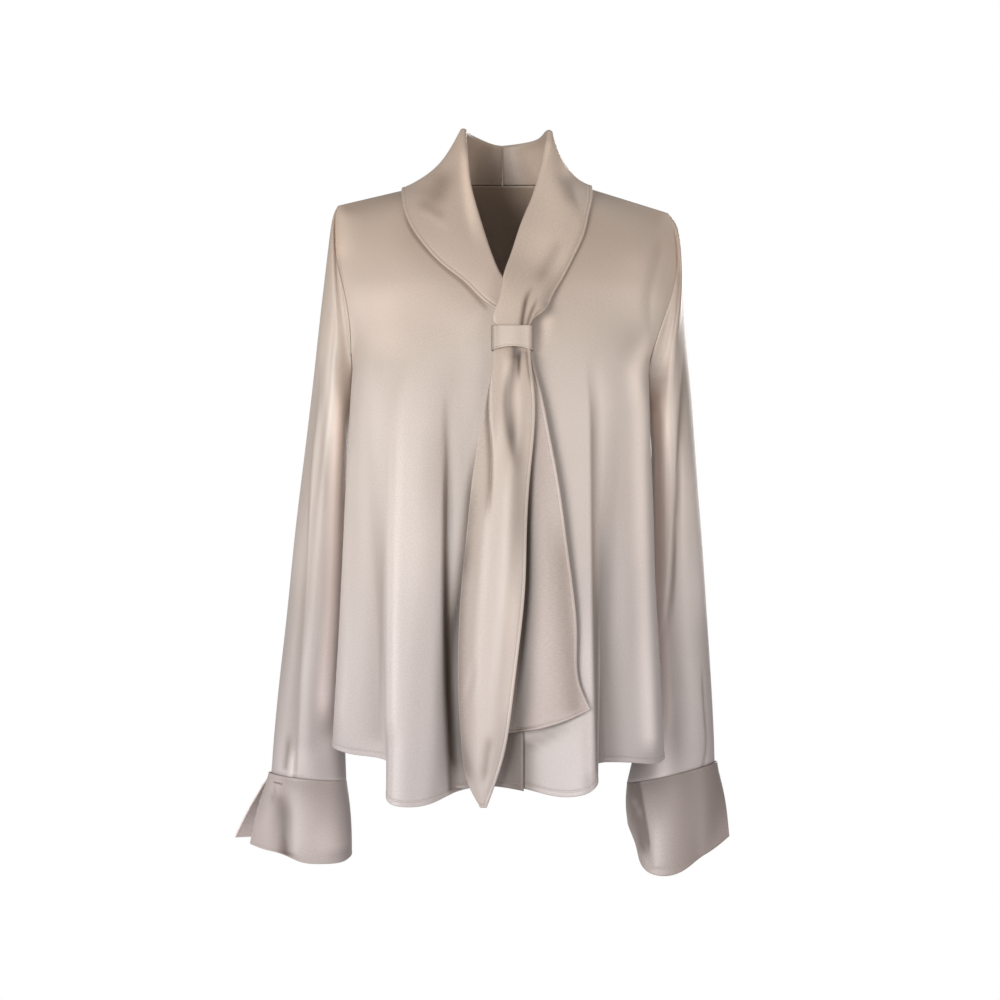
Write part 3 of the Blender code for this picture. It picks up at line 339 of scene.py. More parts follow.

# One crease, from its top to its foot in x and drop: how far it stands out, its half width to the
# left and right of its line, the shares of its length over which it fades in and out, and its
# tone: painted shade (below 0) or painted light (above 0) put into its cloth's colour.
Crease = namedtuple("Crease", "out left right start end tone line")
# Creases with out 0 only paint shade or light: shadows beside the ties, keeper and collar, and light
# where the lamps leave the sleeves, cuffs and fronts too dark.
CREASES = {
    "front_right": (
        (0, 14, 16, 0.3, 0, -0.32, ((-48, 590), (-42, 625), (-36, 660))),
        (-3.5, 3, 7, 0.35, 0.5, -0.70,
         ((-63.5, 215), (-63.5, 294), (-63.4, 399), (-63.2, 504), (-62, 599), (-60, 660))),
        (-5, 3.5, 21, 0.6, 0, -0.48, ((-62, 380), (-60, 470), (-58, 560), (-56, 658))),
        (0, 48, 40, 0.3, 0.5, -0.26, ((-60, 140), (-60, 230), (-60, 300), (-60, 420))),
        (0, 28, 28, 0.3, 0.3, 0.15, ((-130, 110), (-128, 165), (-128, 205))),
        (0, 16, 16, 0.2, 0.3, 0.25, ((-180, 24), (-183, 60), (-183, 95))),
        (2, 9, 12, 0.3, 0.05, 0.07, ((-107, 160), (-116, 260), (-119, 347), (-122, 452), (-124, 600))),
        (-1.8, 16, 4, 0.5, 0.02, -0.20, ((-131, 346), (-134, 472), (-138, 610))),
        (0.5, 10, 6, 0.2, 0.1, 0.10, ((-166, 250), (-172, 400), (-176, 560), (-178, 605))),
        (0, 20, 12, 0.3, 0.1, -0.14, ((-111, 24), (-98, 66), (-70, 100), (-38, 126), (-16, 146))),
        (0, 2, 3, 0.2, 0.05, -0.32,
         ((-113, 22), (-104, 53), (-90, 74), (-68, 98), (-43, 119), (-22, 138), (-12, 147))),
        (-1, 5.5, 7, 0.2, 0.1, -0.78,
         ((-25, 275), (-31.5, 305), (-39.5, 367), (-46, 430), (-53.5, 494), (-56, 557), (-51, 640))),
        (0, 22, 30, 0.4, 0, -0.72, ((6, 540), (8, 600), (10, 660))),
        (0, 30, 15, 0.1, 0.1, -0.24, ((-90, 4), (-135, 14), (-184, 28))),
    ),
    "front_left": (
        (0, 10, 14, 0.1, 0, -0.22, ((20, 600), (26, 660))),
        (-1.3, 2.2, 7, 0.25, 0.02, -0.56,
         ((90.5, 176), (91.5, 294), (92.5, 399), (93.5, 504), (97, 640))),
        (-2.5, 4, 22, 0.6, 0.02, -0.22, ((97, 380), (100, 500), (108, 640))),
        (0.3, 6, 14, 0.3, 0.3, 0.16, ((105, 170), (105, 300), (107, 440))),
        (0, 8, 5, 0.4, 0.05, 0.22, ((84, 440), (86, 520), (88, 640))),
        (0.5, 11, 7, 0.1, 0.05, 0.78, ((146, 150), (145.5, 300), (147, 365), (151, 480), (156, 622))),
        (0, 5, 7, 0.3, 0.3, 0.45, ((39, 142), (37, 168), (37, 196))),
        (0, 12, 32, 0.2, 0.1, -0.05, ((88, 25), (81, 63), (62, 105), (36, 142), (22, 158))),
        (0, 3, 2, 0.1, 0.3, -0.10,
         ((93, 20), (90, 42), (84, 64), (74, 88), (62, 112), (49, 132), (36, 150))),
        (-1.2, 8, 5, 0.2, 0.4, -0.10, ((175, 56), (161, 97), (153.6, 141), (151.5, 173))),
        (0, 10, 4, 0.1, 0.1, -0.08,
         ((30, 190), (36, 228), (46, 276), (55, 324), (64, 387),
          (71, 440), (75, 492), (78, 540), (88, 566))),
        (0, 7, 12, 0.02, 0.5, -0.42, ((-6, 606), (20, 604), (50, 592), (84, 572))),
        (0, 8, 11, 0.3, 0, -0.42, ((18, 600), (19, 655))),
        (0, 15, 30, 0.1, 0.1, -0.18, ((80, 4), (130, 18), (177, 36))),
        (0, 24, 18, 0.3, 0.3, 0.13, ((138, 66), (142, 110), (146, 178))),
    ),
    "back": (
        (2, 12, 14, 0.4, 0.02, 0.05, ((20, 300), (26, 450), (34, 655))),
        (-2, 9, 9, 0.4, 0.02, -0.16, ((-20, 280), (-24, 450), (-30, 655))),
        (-2, 9, 9, 0.4, 0.02, -0.16, ((64, 260), (72, 450), (84, 655))),
        (-2, 9, 9, 0.4, 0.02, -0.16, ((-98, 260), (-106, 450), (-116, 650))),
    ),
    "sleeve_right": (
        (0, 5, 5, 0.3, 0.3, -0.22, ((-200, 180), (-199, 300), (-200, 370))),
        (0, 14, 14, 0.4, 0, 0.22, ((-216, 610), (-212, 665))),
        (-1.2, 9, 1.3, 0.18, 0.02, -0.25,
         ((-203, 175), (-205.7, 236), (-212.4, 291), (-217, 368),
          (-220, 445), (-225, 522), (-231, 655))),
        (0, 8, 8, 0.2, 0.1, 0.95,
         ((-181, 190), (-184, 291), (-187, 368), (-190, 445), (-196, 522), (-202, 600))),
        (0, 8, 10, 0.3, 0.3, -0.12, ((-200, 250), (-209, 368), (-215, 445), (-222, 540))),
        (0, 24, 16, 0.3, 0.2, -0.14, ((-228, 400), (-232, 470), (-238, 590), (-240, 640))),
        (-1.6, 3, 3, 0.5, 0.1, -0.42, ((-238, 600), (-244, 646))),
        (0.8, 3.5, 1.5, 0.6, 0, 0.45, ((-233, 616), (-236, 652))),
        (0, 10, 10, 0.4, 0, 0.40, ((-198, 596), (-190, 660))),
    ),
    "sleeve_left": (
        (0, 5, 5, 0.2, 0.3, -0.28, ((192, 85), (190, 104), (183, 160), (179, 195))),
        (0, 4, 4, 0.2, 0.3, -0.18, ((190, 215), (187, 300), (184, 400), (180, 470))),
        (-1.8, 2.5, 5, 0.2, 0.2, -0.40,
         ((193, 160), (193, 215), (189, 291), (185, 368), (180, 445), (172, 510))),
        (0, 8, 9, 0.15, 0.30, 1.40,
         ((168, 205), (169, 292), (170, 368), (171, 445), (173, 522), (172, 600), (166, 668))),
        (0, 10, 10, 0.3, 0, 0.50, ((176, 540), (175, 600), (172, 672))),
        (0, 3, 2.5, 0.3, 0.3, -0.9, ((160, 250), (161.5, 330), (163, 400), (165, 470))),
        (0, 14, 12, 0.3, 0.3, 0.30, ((205, 262), (207, 300), (211, 368), (215.6, 445), (220, 510))),
        (-0.8, 1.6, 1.2, 0.3, 0, -0.40, ((216, 520), (220, 590), (221, 622), (216, 646))),
    ),
    "cuff_right": (
        (-1, 2, 1.6, 0.1, 0.6, -0.30, ((-252.5, 661), (-256, 671), (-260.5, 682))),
        (-1.5, 7, 8, 0.3, 0.1, -0.30, ((-243, 664), (-241, 690), (-238, 738))),
        (0, 10, 9, 0.1, 0.05, -0.46, ((-248, 664), (-245, 700), (-243, 745))),
        (0.8, 14, 14, 0.3, 0.3, 0.10, ((-214, 660), (-212, 700), (-210, 742))),
        (0, 16, 18, 0.05, 0.1, 0.34, ((-190, 640), (-188, 700), (-186, 735))),
        (0, 5, 8, 0.05, 0.05, -0.55, ((-172, 648), (-171, 700), (-169, 745))),
        (0, 14, 14, 0.05, 0.5, -0.25, ((-250, 642), (-236, 655), (-230, 675))),
    ),
    # painted light on the inside of the cuff's under lap, which the upper lap shades
    "cuff_right_inside": (
        (0, 30, 30, 0.02, 0.02, 1.1, ((-262, 640), (-285, 685), (-302, 730))),
    ),
    "cuff_left": (
        (-1.5, 30, 1.6, 0.02, 0.1, -0.50, ((145, 640), (150.5, 678), (156, 712), (159.5, 738))),
        (0.8, 3, 2, 0.3, 0.3, 0.30, ((136.6, 672), (144, 684), (150.5, 697))),
        (0.8, 4, 14, 0.1, 0.05, 0.10, ((152, 655), (157, 695), (166, 752))),
        (0, 48, 50, 0.02, 0.02, -0.50, ((214, 630), (214, 690), (214, 790))),
    ),
    "collar_tie_right": (
        (-1, 15, 12, 0.4, 0.4, -0.34, ((-64, -24), (-72, 8), (-86, 36))),
        (0.3, 6, 8, 0.2, 0.4, 0.50, ((-43, -46), (-42, 5), (-35, 52), (-24, 84))),
        (0.5, 4, 5, 0.4, 0.4, 0.08, ((-98, 30), (-76, 44), (-56, 62))),
        (0, 6, 6, 0.3, 0.3, -0.20, ((-98, 20), (-80, 34), (-62, 46))),
        # the rear end
        (-1, 9, 13.5, 0.45, 0, -0.88,
         ((22, 200), (23, 310), (22.5, 380), (22.5, 440), (19, 500), (16, 560), (13, 592), (10, 620))),
        (-1, 13, 8, 0.3, 0.05, -0.34, ((54, 350), (62, 440), (68, 510), (74, 575))),
    ),
    "collar_tie_left": (
        (-0.5, 3, 2, 0.5, 0, -0.78, ((30, 118), (23, 130), (19, 145), (16, 166))),
        (-0.4, 2, 1.6, 0.5, 0, -0.62, ((35, 130), (28, 145), (21, 166))),
        (-0.2, 1.6, 1.4, 0.4, 0, -0.35, ((36, 144), (30, 154), (25, 165))),
        (-1.2, 8, 6, 0.3, 0.3, -0.26, ((62, 62), (50.5, 85), (40, 105), (31, 121))),
        (-1, 12, 9, 0.3, 0.4, -0.24, ((62, -16), (70, 10), (78, 34))),
        (0.6, 34, 26, 0.05, 0.3, 0.28, ((50, -50), (56, 20), (50, 74), (38, 118))),
        (0, 7, 7, 0.1, 0.4, 0.50, ((60, -52), (66, -30), (62, 4))),
        (0.4, 7, 4, 0.3, 0.4, 0.14, ((82, 26), (74, 60), (60, 96), (46, 122))),
        # the front end
        (-2.2, 4, 1.5, 0.1, 0.3, -0.60,
         ((-16, 200), (-17.5, 226), (-18, 252), (-16.5, 284), (-16.5, 325), (-18, 350), (-21, 376))),
        (-1.2, 4, 7, 0, 0.4, -0.62,
         ((9.5, 178), (8.5, 200), (4, 218), (0.8, 238), (1.5, 260), (5, 284), (10, 304), (14, 326))),
        (-0.5, 9, 10, 0.3, 0.35, -0.34, ((5, 235), (8, 285), (12, 325), (13, 388), (12, 430))),
        (-0.2, 2, 2, 0, 0.5, -0.50, ((14, 188), (13.5, 204), (13, 224))),
        (-0.2, 2, 2, 0, 0.4, -0.50, ((21, 188), (23, 206), (26, 230))),
        (0, 12, 8, 0.3, 0.4, -0.38, ((-38, 320), (-42, 388), (-46, 440))),
        (1, 4, 4, 0.5, 0.5, 0.10, ((-33, 509), (-40, 540), (-47.5, 568))),
        (-1.2, 5, 5, 0.3, 0.3, -0.30, ((-16, 590), (-19, 615), (-23, 650))),
        (0, 9, 7, 0.15, 0.1, -0.52, ((-44, 380), (-48.5, 440), (-51.5, 540), (-48, 600), (-36, 650))),
        (0, 9, 6, 0.3, 0.3, 0.27, ((9, 410), (8, 470), (4, 540), (-5, 610))),
        (0, 10, 10, 0, 0.5, -0.28, ((9, 178), (8, 204))),
    ),
    "keeper": (
        (0, 3.5, 5, 0, 0, -0.30, ((-13, 155), (-12.5, 195))),
        (0, 7, 6, 0, 0, -0.12, ((14, 155), (15, 195))),
    ),
}


def spline(knots, values, at):
    """Natural cubic curve through the values at the knots, read at each place in `at`."""
    knots = np.asarray(knots, float)
    values = np.asarray(values, float)
    flat = values.reshape(len(knots), -1)
    gap = np.diff(knots)
    slope = np.diff(flat, axis=0) / gap[:, None]
    system = np.eye(len(knots))
    bends = np.zeros_like(flat)
    for i in range(1, len(knots) - 1):
        system[i, i - 1 : i + 2] = gap[i - 1], 2 * (gap[i - 1] + gap[i]), gap[i]
        bends[i] = 6 * (slope[i] - slope[i - 1])
    bends = np.linalg.solve(system, bends)
    at = np.atleast_1d(np.asarray(at, float))
    i = np.clip(np.searchsorted(knots, at, side="right") - 1, 0, len(knots) - 2)
    before = ((knots[i + 1] - at) / gap[i])[:, None]
    after = 1 - before
    curve = (before**3 - before) * bends[i] + (after**3 - after) * bends[i + 1]
    read = before * flat[i] + after * flat[i + 1] + curve * (gap[i] ** 2 / 6)[:, None]
    return read.reshape((len(at),) + values.shape[1:])


def unit(vectors):
    """Vectors at length 1, along the last axis."""
    return vectors / np.maximum(np.linalg.norm(vectors, axis=-1, keepdims=True), TINY)


def from_zero(steps, axis=0):
    """Running sum of steps along an axis, from 0 at its start."""
    start = np.zeros_like(np.take(steps, [0], axis))
    return np.concatenate([start, np.cumsum(steps, axis)], axis)


def lengths(points):
    """Distance along a line of points, from 0 at its start."""
    return from_zero(np.linalg.norm(np.diff(points, axis=0), axis=1))


def read_along(run, points, wanted):
    """Points or vectors of a line, read at the wanted distances along its run."""
    return np.stack([np.interp(wanted, run, points[:, axis]) for axis in range(3)], axis=1)


def at_shares(points, shares):
    """Points at the given shares of a line's length."""
    run = lengths(points)
    return read_along(run, points, np.asarray(shares) * run[-1])


def curve_through(points, shares):
    """Smooth curve through the points, read at shares of its length."""
    points = np.asarray(points, float)
    run = lengths(points)
    fine = spline(run, points, np.linspace(0, run[-1], PLAN_POINTS * len(points)))
    return at_shares(fine, shares)


def stepped(steps):
    """Places 0 to len(steps), with `steps[i]` equal parts between i and i + 1."""
    parts = [i + np.arange(count) / count for i, count in enumerate(steps)]
    return np.concatenate(parts + [[len(steps)]])


def up(points):
    """Table points (x, y, drop) turned to millimetres with z up."""
    return np.asarray(points, float) * (1, 1, -1)


def quarter(inner, outer, square, end=90.0):
    """Superellipse arc in plan from the centre line; at 90 degrees it ends running straight back."""
    turn = np.radians(np.linspace(0, end, PLAN_POINTS))
    reach = np.sin(turn) ** (2 / square)
    rise = np.abs(np.cos(turn)) ** (2 / square)
    x = inner[0] + (outer[0] - inner[0]) * reach / reach[-1]
    y = outer[1] + (inner[1] - outer[1]) * (rise - rise[-1]) / (1 - rise[-1])
    return np.stack([x, y], axis=1)


def with_drop(plan, start, end):
    """A plan line given heights that fall evenly along it."""
    line = np.column_stack([plan, np.zeros(len(plan))])
    run = lengths(line)
    line[:, 2] = -(start + (end - start) * run / run[-1])
    return line


def edge_shares(count, length):
    """Shares of a line from a finished edge: the edge's own lines first, then even steps."""
    near = EDGE_LINES / max(length, SHORTEST_EDGE)
    rest = np.linspace(near[-1], 1, count - len(near) + 2)[1:]
    return np.concatenate([near, rest])


def even(count):
    """Shares from just past 0 to 1 in even steps."""
    return np.linspace(0, 1, count + 1)[1:]


def edge_to_edge(count, length):
    """Shares of a line between two finished edges, set out from each edge to its middle."""
    half = edge_shares(count, length) / 2
    return np.concatenate([half, 1 - half[-2::-1]])


def front_section(row, shares):
    """One section of a front, from its inner edge to its seam, tucking in past the widest point."""
    tucked = (row.wide_x, row.wide_y) != (row.out_x, row.out_y)
    end = 90.0 if tucked else ARMHOLE_END
    plan = quarter((row.in_x, row.in_y), (row.wide_x, row.wide_y), row.square, end)
    if tucked:
        along = np.linspace(0, 1, PLAN_POINTS)[1:, None]
        wide = np.array([row.wide_x, row.wide_y], float)
        seam = np.array([row.out_x, row.out_y], float)
        corner = np.array([row.wide_x, row.wide_y + TUCK_CORNER * (row.out_y - row.wide_y)])
        tuck = (1 - along) ** 2 * wide + 2 * along * (1 - along) * corner + along**2 * seam
        plan = np.concatenate([plan, tuck])
    shares = shares + GRAIN_SHIFT * np.sin(math.pi * shares)
    return at_shares(with_drop(plan, row.in_drop, row.out_drop), shares)


def fold_weight(grid):
    """How far each point has gone from the smooth form (0) to the folded hem (1)."""
    hem = grid[-1, :, 2]
    share = (-FOLD_START - grid[..., 2]) / (-FOLD_START - hem)
    return np.clip(share, 0, 1) ** FOLD_GROWTH


def body_places():
    """Places of a body panel's rows along its sections, with the hem's own lines at the end."""
    places = stepped(BODY_STEPS)
    hem = len(BODY_STEPS) - EDGE_LINES[::-1] / LAST_SECTION
    return np.concatenate([places[places < hem[0] - HEM_MARGIN], hem])


def front(rows, hem):
    """Grid of a front: its sections, with the folds of its hem growing from the chest down."""
    shares = edge_shares(FRONT_COLUMNS, FRONT_WIDTH)
    sections = np.array([front_section(row, shares) for row in rows])
    places = body_places()
    grid = spline(np.arange(len(rows)), sections, places)
    folded = curve_through(up(hem), shares)
    weight = fold_weight(grid)[..., None]
    grid = grid + weight * (folded - grid[-1])
    grid[..., 1] -= HALF_JOIN * np.clip(1 - places, 0, 1)[:, None]
    grid[:, -1, 1] -= HALF_JOIN
    return grid


def back_half(rows, seams, columns):
    """Sections of half the back, from the centre to the seam that it shares with a front."""
    sections = []
    for number, (row, seam) in enumerate(zip(rows, seams)):
        if number == 0:
            turn = np.linspace(0, math.pi / 2, PLAN_POINTS)
            neck_x = BACK_CENTRE + (seam.in_x - BACK_CENTRE) * np.sin(turn)
            neck_y = row.in_y * np.cos(turn)
            neck_drop = row.in_drop + (seam.in_drop - row.in_drop) * (1 - np.cos(turn))
            neck = np.stack([neck_x, neck_y, -neck_drop], axis=1)
            tip = np.array([[seam.out_x, seam.out_y, -seam.out_drop]], float)
            line = np.concatenate([neck, tip])
        else:
            end = ARMHOLE_END if number < UNDERARM else SIDE_END
            plan = quarter((BACK_CENTRE, row.in_y), (seam.out_x, row.out_y), row.square, end)
            line = with_drop(plan, row.in_drop, seam.out_drop)
        sections.append(at_shares(line, np.linspace(0, 1, columns + 1)))
    return np.array(sections)


def back(rows):
    """Grid of the back from the right side seam to the left one, with folds that grow to the hem."""
    half = BACK_COLUMNS // 2
    right = back_half(rows, FRONT_RIGHT, half)
    left = back_half(rows, FRONT_LEFT, half)
    sections = np.concatenate([right[:, ::-1], left[:, 1:]], axis=1)
    places = body_places()
    grid = spline(np.arange(len(rows)), sections, places)
    place = np.linspace(-1, 1, BACK_COLUMNS + 1)
    push = np.zeros(BACK_COLUMNS + 1)
    for fold in BACK_FOLDS:
        push += fold.out * np.exp(-(((place - fold.at) / fold.half_width) ** 2))
    push *= 1 - np.abs(place) ** SEAM_STAYS
    across = np.gradient(grid[-1], axis=0)
    outward = unit(np.stack([-across[:, 1], across[:, 0]], axis=1))
    grid[..., :2] += (fold_weight(grid) * push)[..., None] * outward
    grid[..., 1] += HALF_JOIN * np.clip(1 - places, 0, 1)[:, None]
    grid[:, [0, -1], 1] += HALF_JOIN
    return grid


def ring_point(row, turn):
    """Points round a sleeve section: turn 0 is its outer side, a quarter is its front."""
    outer = np.array([row.out_x, row.out_y, -row.out_drop], float)
    inner = np.array([row.in_x, row.in_y, -row.in_drop], float)
    middle = (outer + inner) / 2
    depth = np.where(np.sin(turn) > 0, row.front, row.back)
    points = middle + np.cos(turn)[:, None] * (outer - inner) / 2
    points[:, 0] += math.copysign(row.bow, row.out_x) * np.sin(turn) ** 2
    points[:, 1] -= depth * np.sin(turn)
    return points


def armhole(front_grid, back_grid, back_edge, side):
    """Ring of the armhole, from the shoulder tip down the front and up the back, moved out."""
    down = front_grid[: ARMHOLE_ROWS + 1, -1]
    rise = back_grid[: ARMHOLE_ROWS + 1, back_edge][::-1]
    ring = np.concatenate([down, rise[1:-1]])
    ring[0] = (down[0] + rise[-1]) / 2
    ring[ARMHOLE_ROWS] = (down[-1] + rise[0]) / 2
    under = ((1 - np.cos(SLEEVE_TURNS)) / 2) ** UNDERARM_SPREAD
    ring[:, 0] += side * (SLEEVE_JOIN + UNDERARM_STEP * under)
    return ring


def softened(steps, round_closed, times):
    """Steps of a grid's points, evened out between neighbours, with the first row left as it is."""
    for _ in range(times):
        if round_closed:
            side = np.roll(steps, 1, 1) + np.roll(steps, -1, 1)
        else:
            side = 2 * steps
            side[:, 1:-1] = steps[:, :-2] + steps[:, 2:]
        along = 2 * steps
        along[1:-1] = steps[:-2] + steps[2:]
        evened = (side + along) / 4
        evened[0] = steps[0]
        steps = evened
    return steps


def sleeve(rows, first_ring, tree):
    """Grid of a sleeve, closed round, from its armhole to the cuff's seam, clear of the body."""
    rings = np.array([first_ring] + [ring_point(row, SLEEVE_TURNS) for row in rows])
    places = stepped(SLEEVE_STEPS)
    grid = spline(np.arange(len(rings)), rings, places)
    pushes = np.zeros_like(grid)
    facing_body = np.flatnonzero(np.cos(SLEEVE_TURNS) < FACING_BODY)
    for i in range(1, len(grid)):
        clearance = SLEEVE_CLEARANCE * min(1, places[i])
        for column in facing_body:
            pushes[i, column] = short_of(grid[i, column], tree, clearance)
    return grid + softened(pushes, True, SLEEVE_SOFTENING)


def cuff(last_ring, hem):
    """Grid of an open cuff, from its upper lap round the arm to its under lap."""
    shares = edge_to_edge(CUFF_COLUMNS // 2, CUFF_HALF_ROUND)
    turn = np.radians(-CUFF_LAP + shares * (360 + CUFF_LAP))
    top = ring_point(last_ring, turn)
    out = top - top.mean(axis=0)
    out[:, 2] = 0
    out = unit(out)
    top += out * (CUFF_STEP * (1 - shares) ** LAP_SPREAD)[:, None]
    top[:, 2] -= CUFF_JOIN
    bottom = curve_through(up(hem), shares)
    fall = edge_to_edge(CUFF_ROWS // 2, CUFF_HALF_DEEP)[:, None, None]
    bulge = CUFF_FLARE * np.sin(math.pi * fall)
    return top + fall * (bottom - top) + bulge * out


def half_neckline(back_grid, front_grid, towards):
    """Line of half the neckline, from the centre of the back to the point of the V."""
    middle = back_grid.shape[1] // 2
    top = back_grid[0, middle::towards]
    neck_end = front_grid[0, 0]
    near = np.linalg.norm(top - neck_end, axis=1).argmin()
    down = front_grid[: 1 + sum(BODY_STEPS[:V_POINT]), 0]
    return np.concatenate([top[:near], down])


def strip_cut(fall, stand):
    """Shares across the fall, roll and stand, with the lines of the two finished edges."""
    stand_shares = 1 - edge_shares(STAND_POINTS, stand)[-2::-1]
    return edge_shares(FALL_POINTS, fall), even(ROLL_POINTS), stand_shares


def collar_section(station, sewn_at, ahead, side, coarse=False):
    """Section of the rolled collar: outer edge, fall, roll and stand down to the neckline."""
    edge = np.array([station.edge_x, station.edge_y, -station.edge_drop], float)
    tip = np.array([station.roll_x, station.roll_y, -station.roll_drop], float)
    inward = (tip - edge) / np.linalg.norm(tip - edge)
    out = side * np.cross(ahead, inward)
    out /= np.linalg.norm(out)
    centre = tip - station.roll * inward
    fall_end = centre + station.roll * out
    middle = (edge + fall_end) / 2 - station.sag * out
    last = centre - station.roll * out
    if station.sewn == FREE:
        sewn_at = last - TURNED_UNDER * inward
    if coarse:
        cut = np.linspace(0, 1, COARSE_FALL + 1), even(COARSE_ROLL), even(COARSE_STAND)
    else:
        cut = strip_cut(np.linalg.norm(fall_end - edge), np.linalg.norm(sewn_at - last))
    fall = curve_through([edge, middle, fall_end], cut[0])
    turn = math.pi * cut[1][:, None]
    roll = centre + station.roll * (np.sin(turn) * inward + np.cos(turn) * out)
    stand = last + cut[2][:, None] * (sewn_at - last)
    return np.concatenate([fall, roll, stand])


def still_folded(row):
    """A tie end's first section as one more of the collar's, whose inner edge is turned under."""
    near, far = (row.near_x, row.y, row.near_drop), (row.far_x, row.y, row.far_drop)
    return Collar(*near, *far, FREE, 0, FOLD_ROLL, 0)


def tie_section(row, side, coarse=False):
    """Section of a flat tie end, from its near edge to its far one, bent by one soft fold."""
    points = COARSE_FALL + COARSE_ROLL + COARSE_STAND
    if coarse:
        share = np.linspace(0, 1, points + 1)
    else:
        width = math.hypot(row.far_x - row.near_x, row.far_drop - row.near_drop)
        first, second = COARSE_FALL / points, (COARSE_FALL + COARSE_ROLL) / points
        fall, roll, stand = strip_cut(width * first, width * (1 - second))
        share = [fall * first, first + roll * (second - first), second + stand * (1 - second)]
        share = np.concatenate(share)
    x = row.near_x + (row.far_x - row.near_x) * share
    drop = row.near_drop + (row.far_drop - row.near_drop) * share
    drop = drop + row.belly * 4 * share * (1 - share)
    y = row.y + side * row.fold * np.sin(2 * math.pi * share)
    return np.stack([x, y, -drop], axis=1)


def collar_tie(stations, ties, neckline, tree, side):
    """Grid of half the collar with the tie end that goes on from it."""
    shares = np.array([station.sewn for station in stations])
    sewn = at_shares(neckline, shares)
    sewn[:, 2] += SEWN_ABOVE
    sewn[:, 1] -= SEWN_ABOVE * shares**2
    edges = np.array([(s.edge_x, s.edge_y, -s.edge_drop) for s in stations], float)
    aheads = np.gradient(edges, axis=0)

    def cut(coarse):
        sections = [
            collar_section(station, at, ahead, side, coarse)
            for station, at, ahead in zip(stations, sewn, aheads)
        ]
        sections[0][:, 0] -= side * HALF_SLIT
        down = np.array([0.0, 0.0, -1.0])
        sections.append(collar_section(still_folded(ties[0]), None, down, side, coarse))
        return np.array(sections + [tie_section(row, side, coarse) for row in ties[1:]])

    knots = lengths(cut(True).mean(axis=1))
    split = knots[len(stations)]
    collar_part = np.linspace(0, split, COLLAR_LENGTH_ROWS + 1)
    tail = knots[-1] - EDGE_LINES[::-1]
    tie_part = np.linspace(split, tail[0], TIE_LENGTH_ROWS + 1)[1:]
    grid = spline(knots, cut(False), np.concatenate([collar_part, tie_part, tail[1:]]))
    lifts = np.interp(collar_part, knots[: len(stations)], [s.lift for s in stations])
    fade = np.clip((LAID_TO - collar_part / split) / (LAID_TO - LAID_FROM), 0, 1)
    steps = laid_on(grid[: len(collar_part)], tree, lifts)
    grid[: len(collar_part)] += steps * fade[:, None, None]
    return grid


def laid_on(grid, tree, lifts):
    """Steps that lay the fall's outer edge at its lift off the body and keep the rest no nearer."""
    steps = np.zeros_like(grid)
    for i, (row, lift) in enumerate(zip(grid, lifts)):
        near, normal, _, _ = tree.find_nearest(Vector(row[0]))
        own = np.array(near + normal * lift) - row[0]
        shares = lengths(row[: FALL_POINTS + 1])
        shares /= shares[-1]
        for column, share in enumerate(shares):
            if share > PUSHED_SHARE:
                break
            steps[i, column] = own * max(0, 1 - share / LAID_SHARE)
            if column:
                steps[i, column] += short_of(row[column] + steps[i, column], tree, lift)
    return softened(steps, False, COLLAR_SOFTENING)


def keeper():
    """Grid of the loop that holds the tie ends: a flattened tube, leaning with the chest."""
    left, right = KEEPER_SIDES
    corners = (
        (left + KEEPER_ROUND, KEEPER_BACK - KEEPER_ROUND, 90, 180),
        (left + KEEPER_ROUND, KEEPER_FRONT + KEEPER_ROUND, 180, 270),
        (right - KEEPER_ROUND, KEEPER_FRONT + KEEPER_ROUND, 270, 360),
        (right - KEEPER_ROUND, KEEPER_BACK - KEEPER_ROUND, 0, 90),
    )
    plan = []
    for x, y, start, end in corners:
        for angle in np.radians(np.linspace(start, end, KEEPER_CORNER_POINTS)):
            plan.append((x + KEEPER_ROUND * math.cos(angle), y + KEEPER_ROUND * math.sin(angle)))
    plan = np.array(plan + plan[:1])
    plan = np.column_stack([plan, np.zeros(len(plan))])
    plan = at_shares(plan, np.arange(KEEPER_COLUMNS) / KEEPER_COLUMNS)
    middle = (left + right) / 2
    arch = 1 - ((plan[:, 0] - middle) / (right - middle)) ** 2
    in_front = plan[:, 1] < (KEEPER_BACK + KEEPER_FRONT) / 2
    rows = []
    for share in edge_to_edge(KEEPER_HALF_ROWS, KEEPER_HEIGHT / 2):
        y = plan[:, 1] - KEEPER_SLOPE * (share - 0.5)
        z = -(KEEPER_TOP + KEEPER_HEIGHT * share) + KEEPER_ARCH * share * arch * in_front
        rows.append(np.stack([plan[:, 0], y, z], axis=1))
    return np.array(rows)


def tree_of(*grids):
    """Search tree over the surfaces of open grids, whose normals point out of the garment."""
    points, faces = [], []
    for grid in grids:
        corner = len(points) + np.arange(grid.shape[0] * grid.shape[1]).reshape(grid.shape[:2])
        points.extend(Vector(point) for point in grid.reshape(-1, 3))
        faces.extend(quads_of(corner).tolist())
    return BVHTree.FromPolygons(points, faces)


def quads_of(corner):
    """Four corners of each face of a grid of point numbers: down, across and back up."""
    quads = [corner[:-1, :-1], corner[1:, :-1], corner[1:, 1:], corner[:-1, 1:]]
    return np.stack(quads, axis=-1).reshape(-1, 4)


def short_of(point, tree, clearance):
    """Step that brings a point out to the clearance from a surface, or none if it is clear."""
    near, normal, _, distance = tree.find_nearest(Vector(point))
    height = (Vector(point) - near).dot(normal)
    squarely = abs(height) > SQUARE_SHARE * distance
    if distance >= clearance and (height > 0 or not squarely):
        return np.zeros(3)
    return np.array(normal) * (clearance - height)


def outward_of(grid, sign, round_closed):
    """Unit normals of a grid's points, turned out of the garment by the sign."""
    if round_closed:
        wide = np.concatenate([grid[:, -1:], grid, grid[:, :1]], axis=1)
        across = np.gradient(wide, axis=1)[:, 1:-1]
    else:
        across = np.gradient(grid, axis=1)
    return unit(sign * np.cross(across, np.gradient(grid, axis=0)))


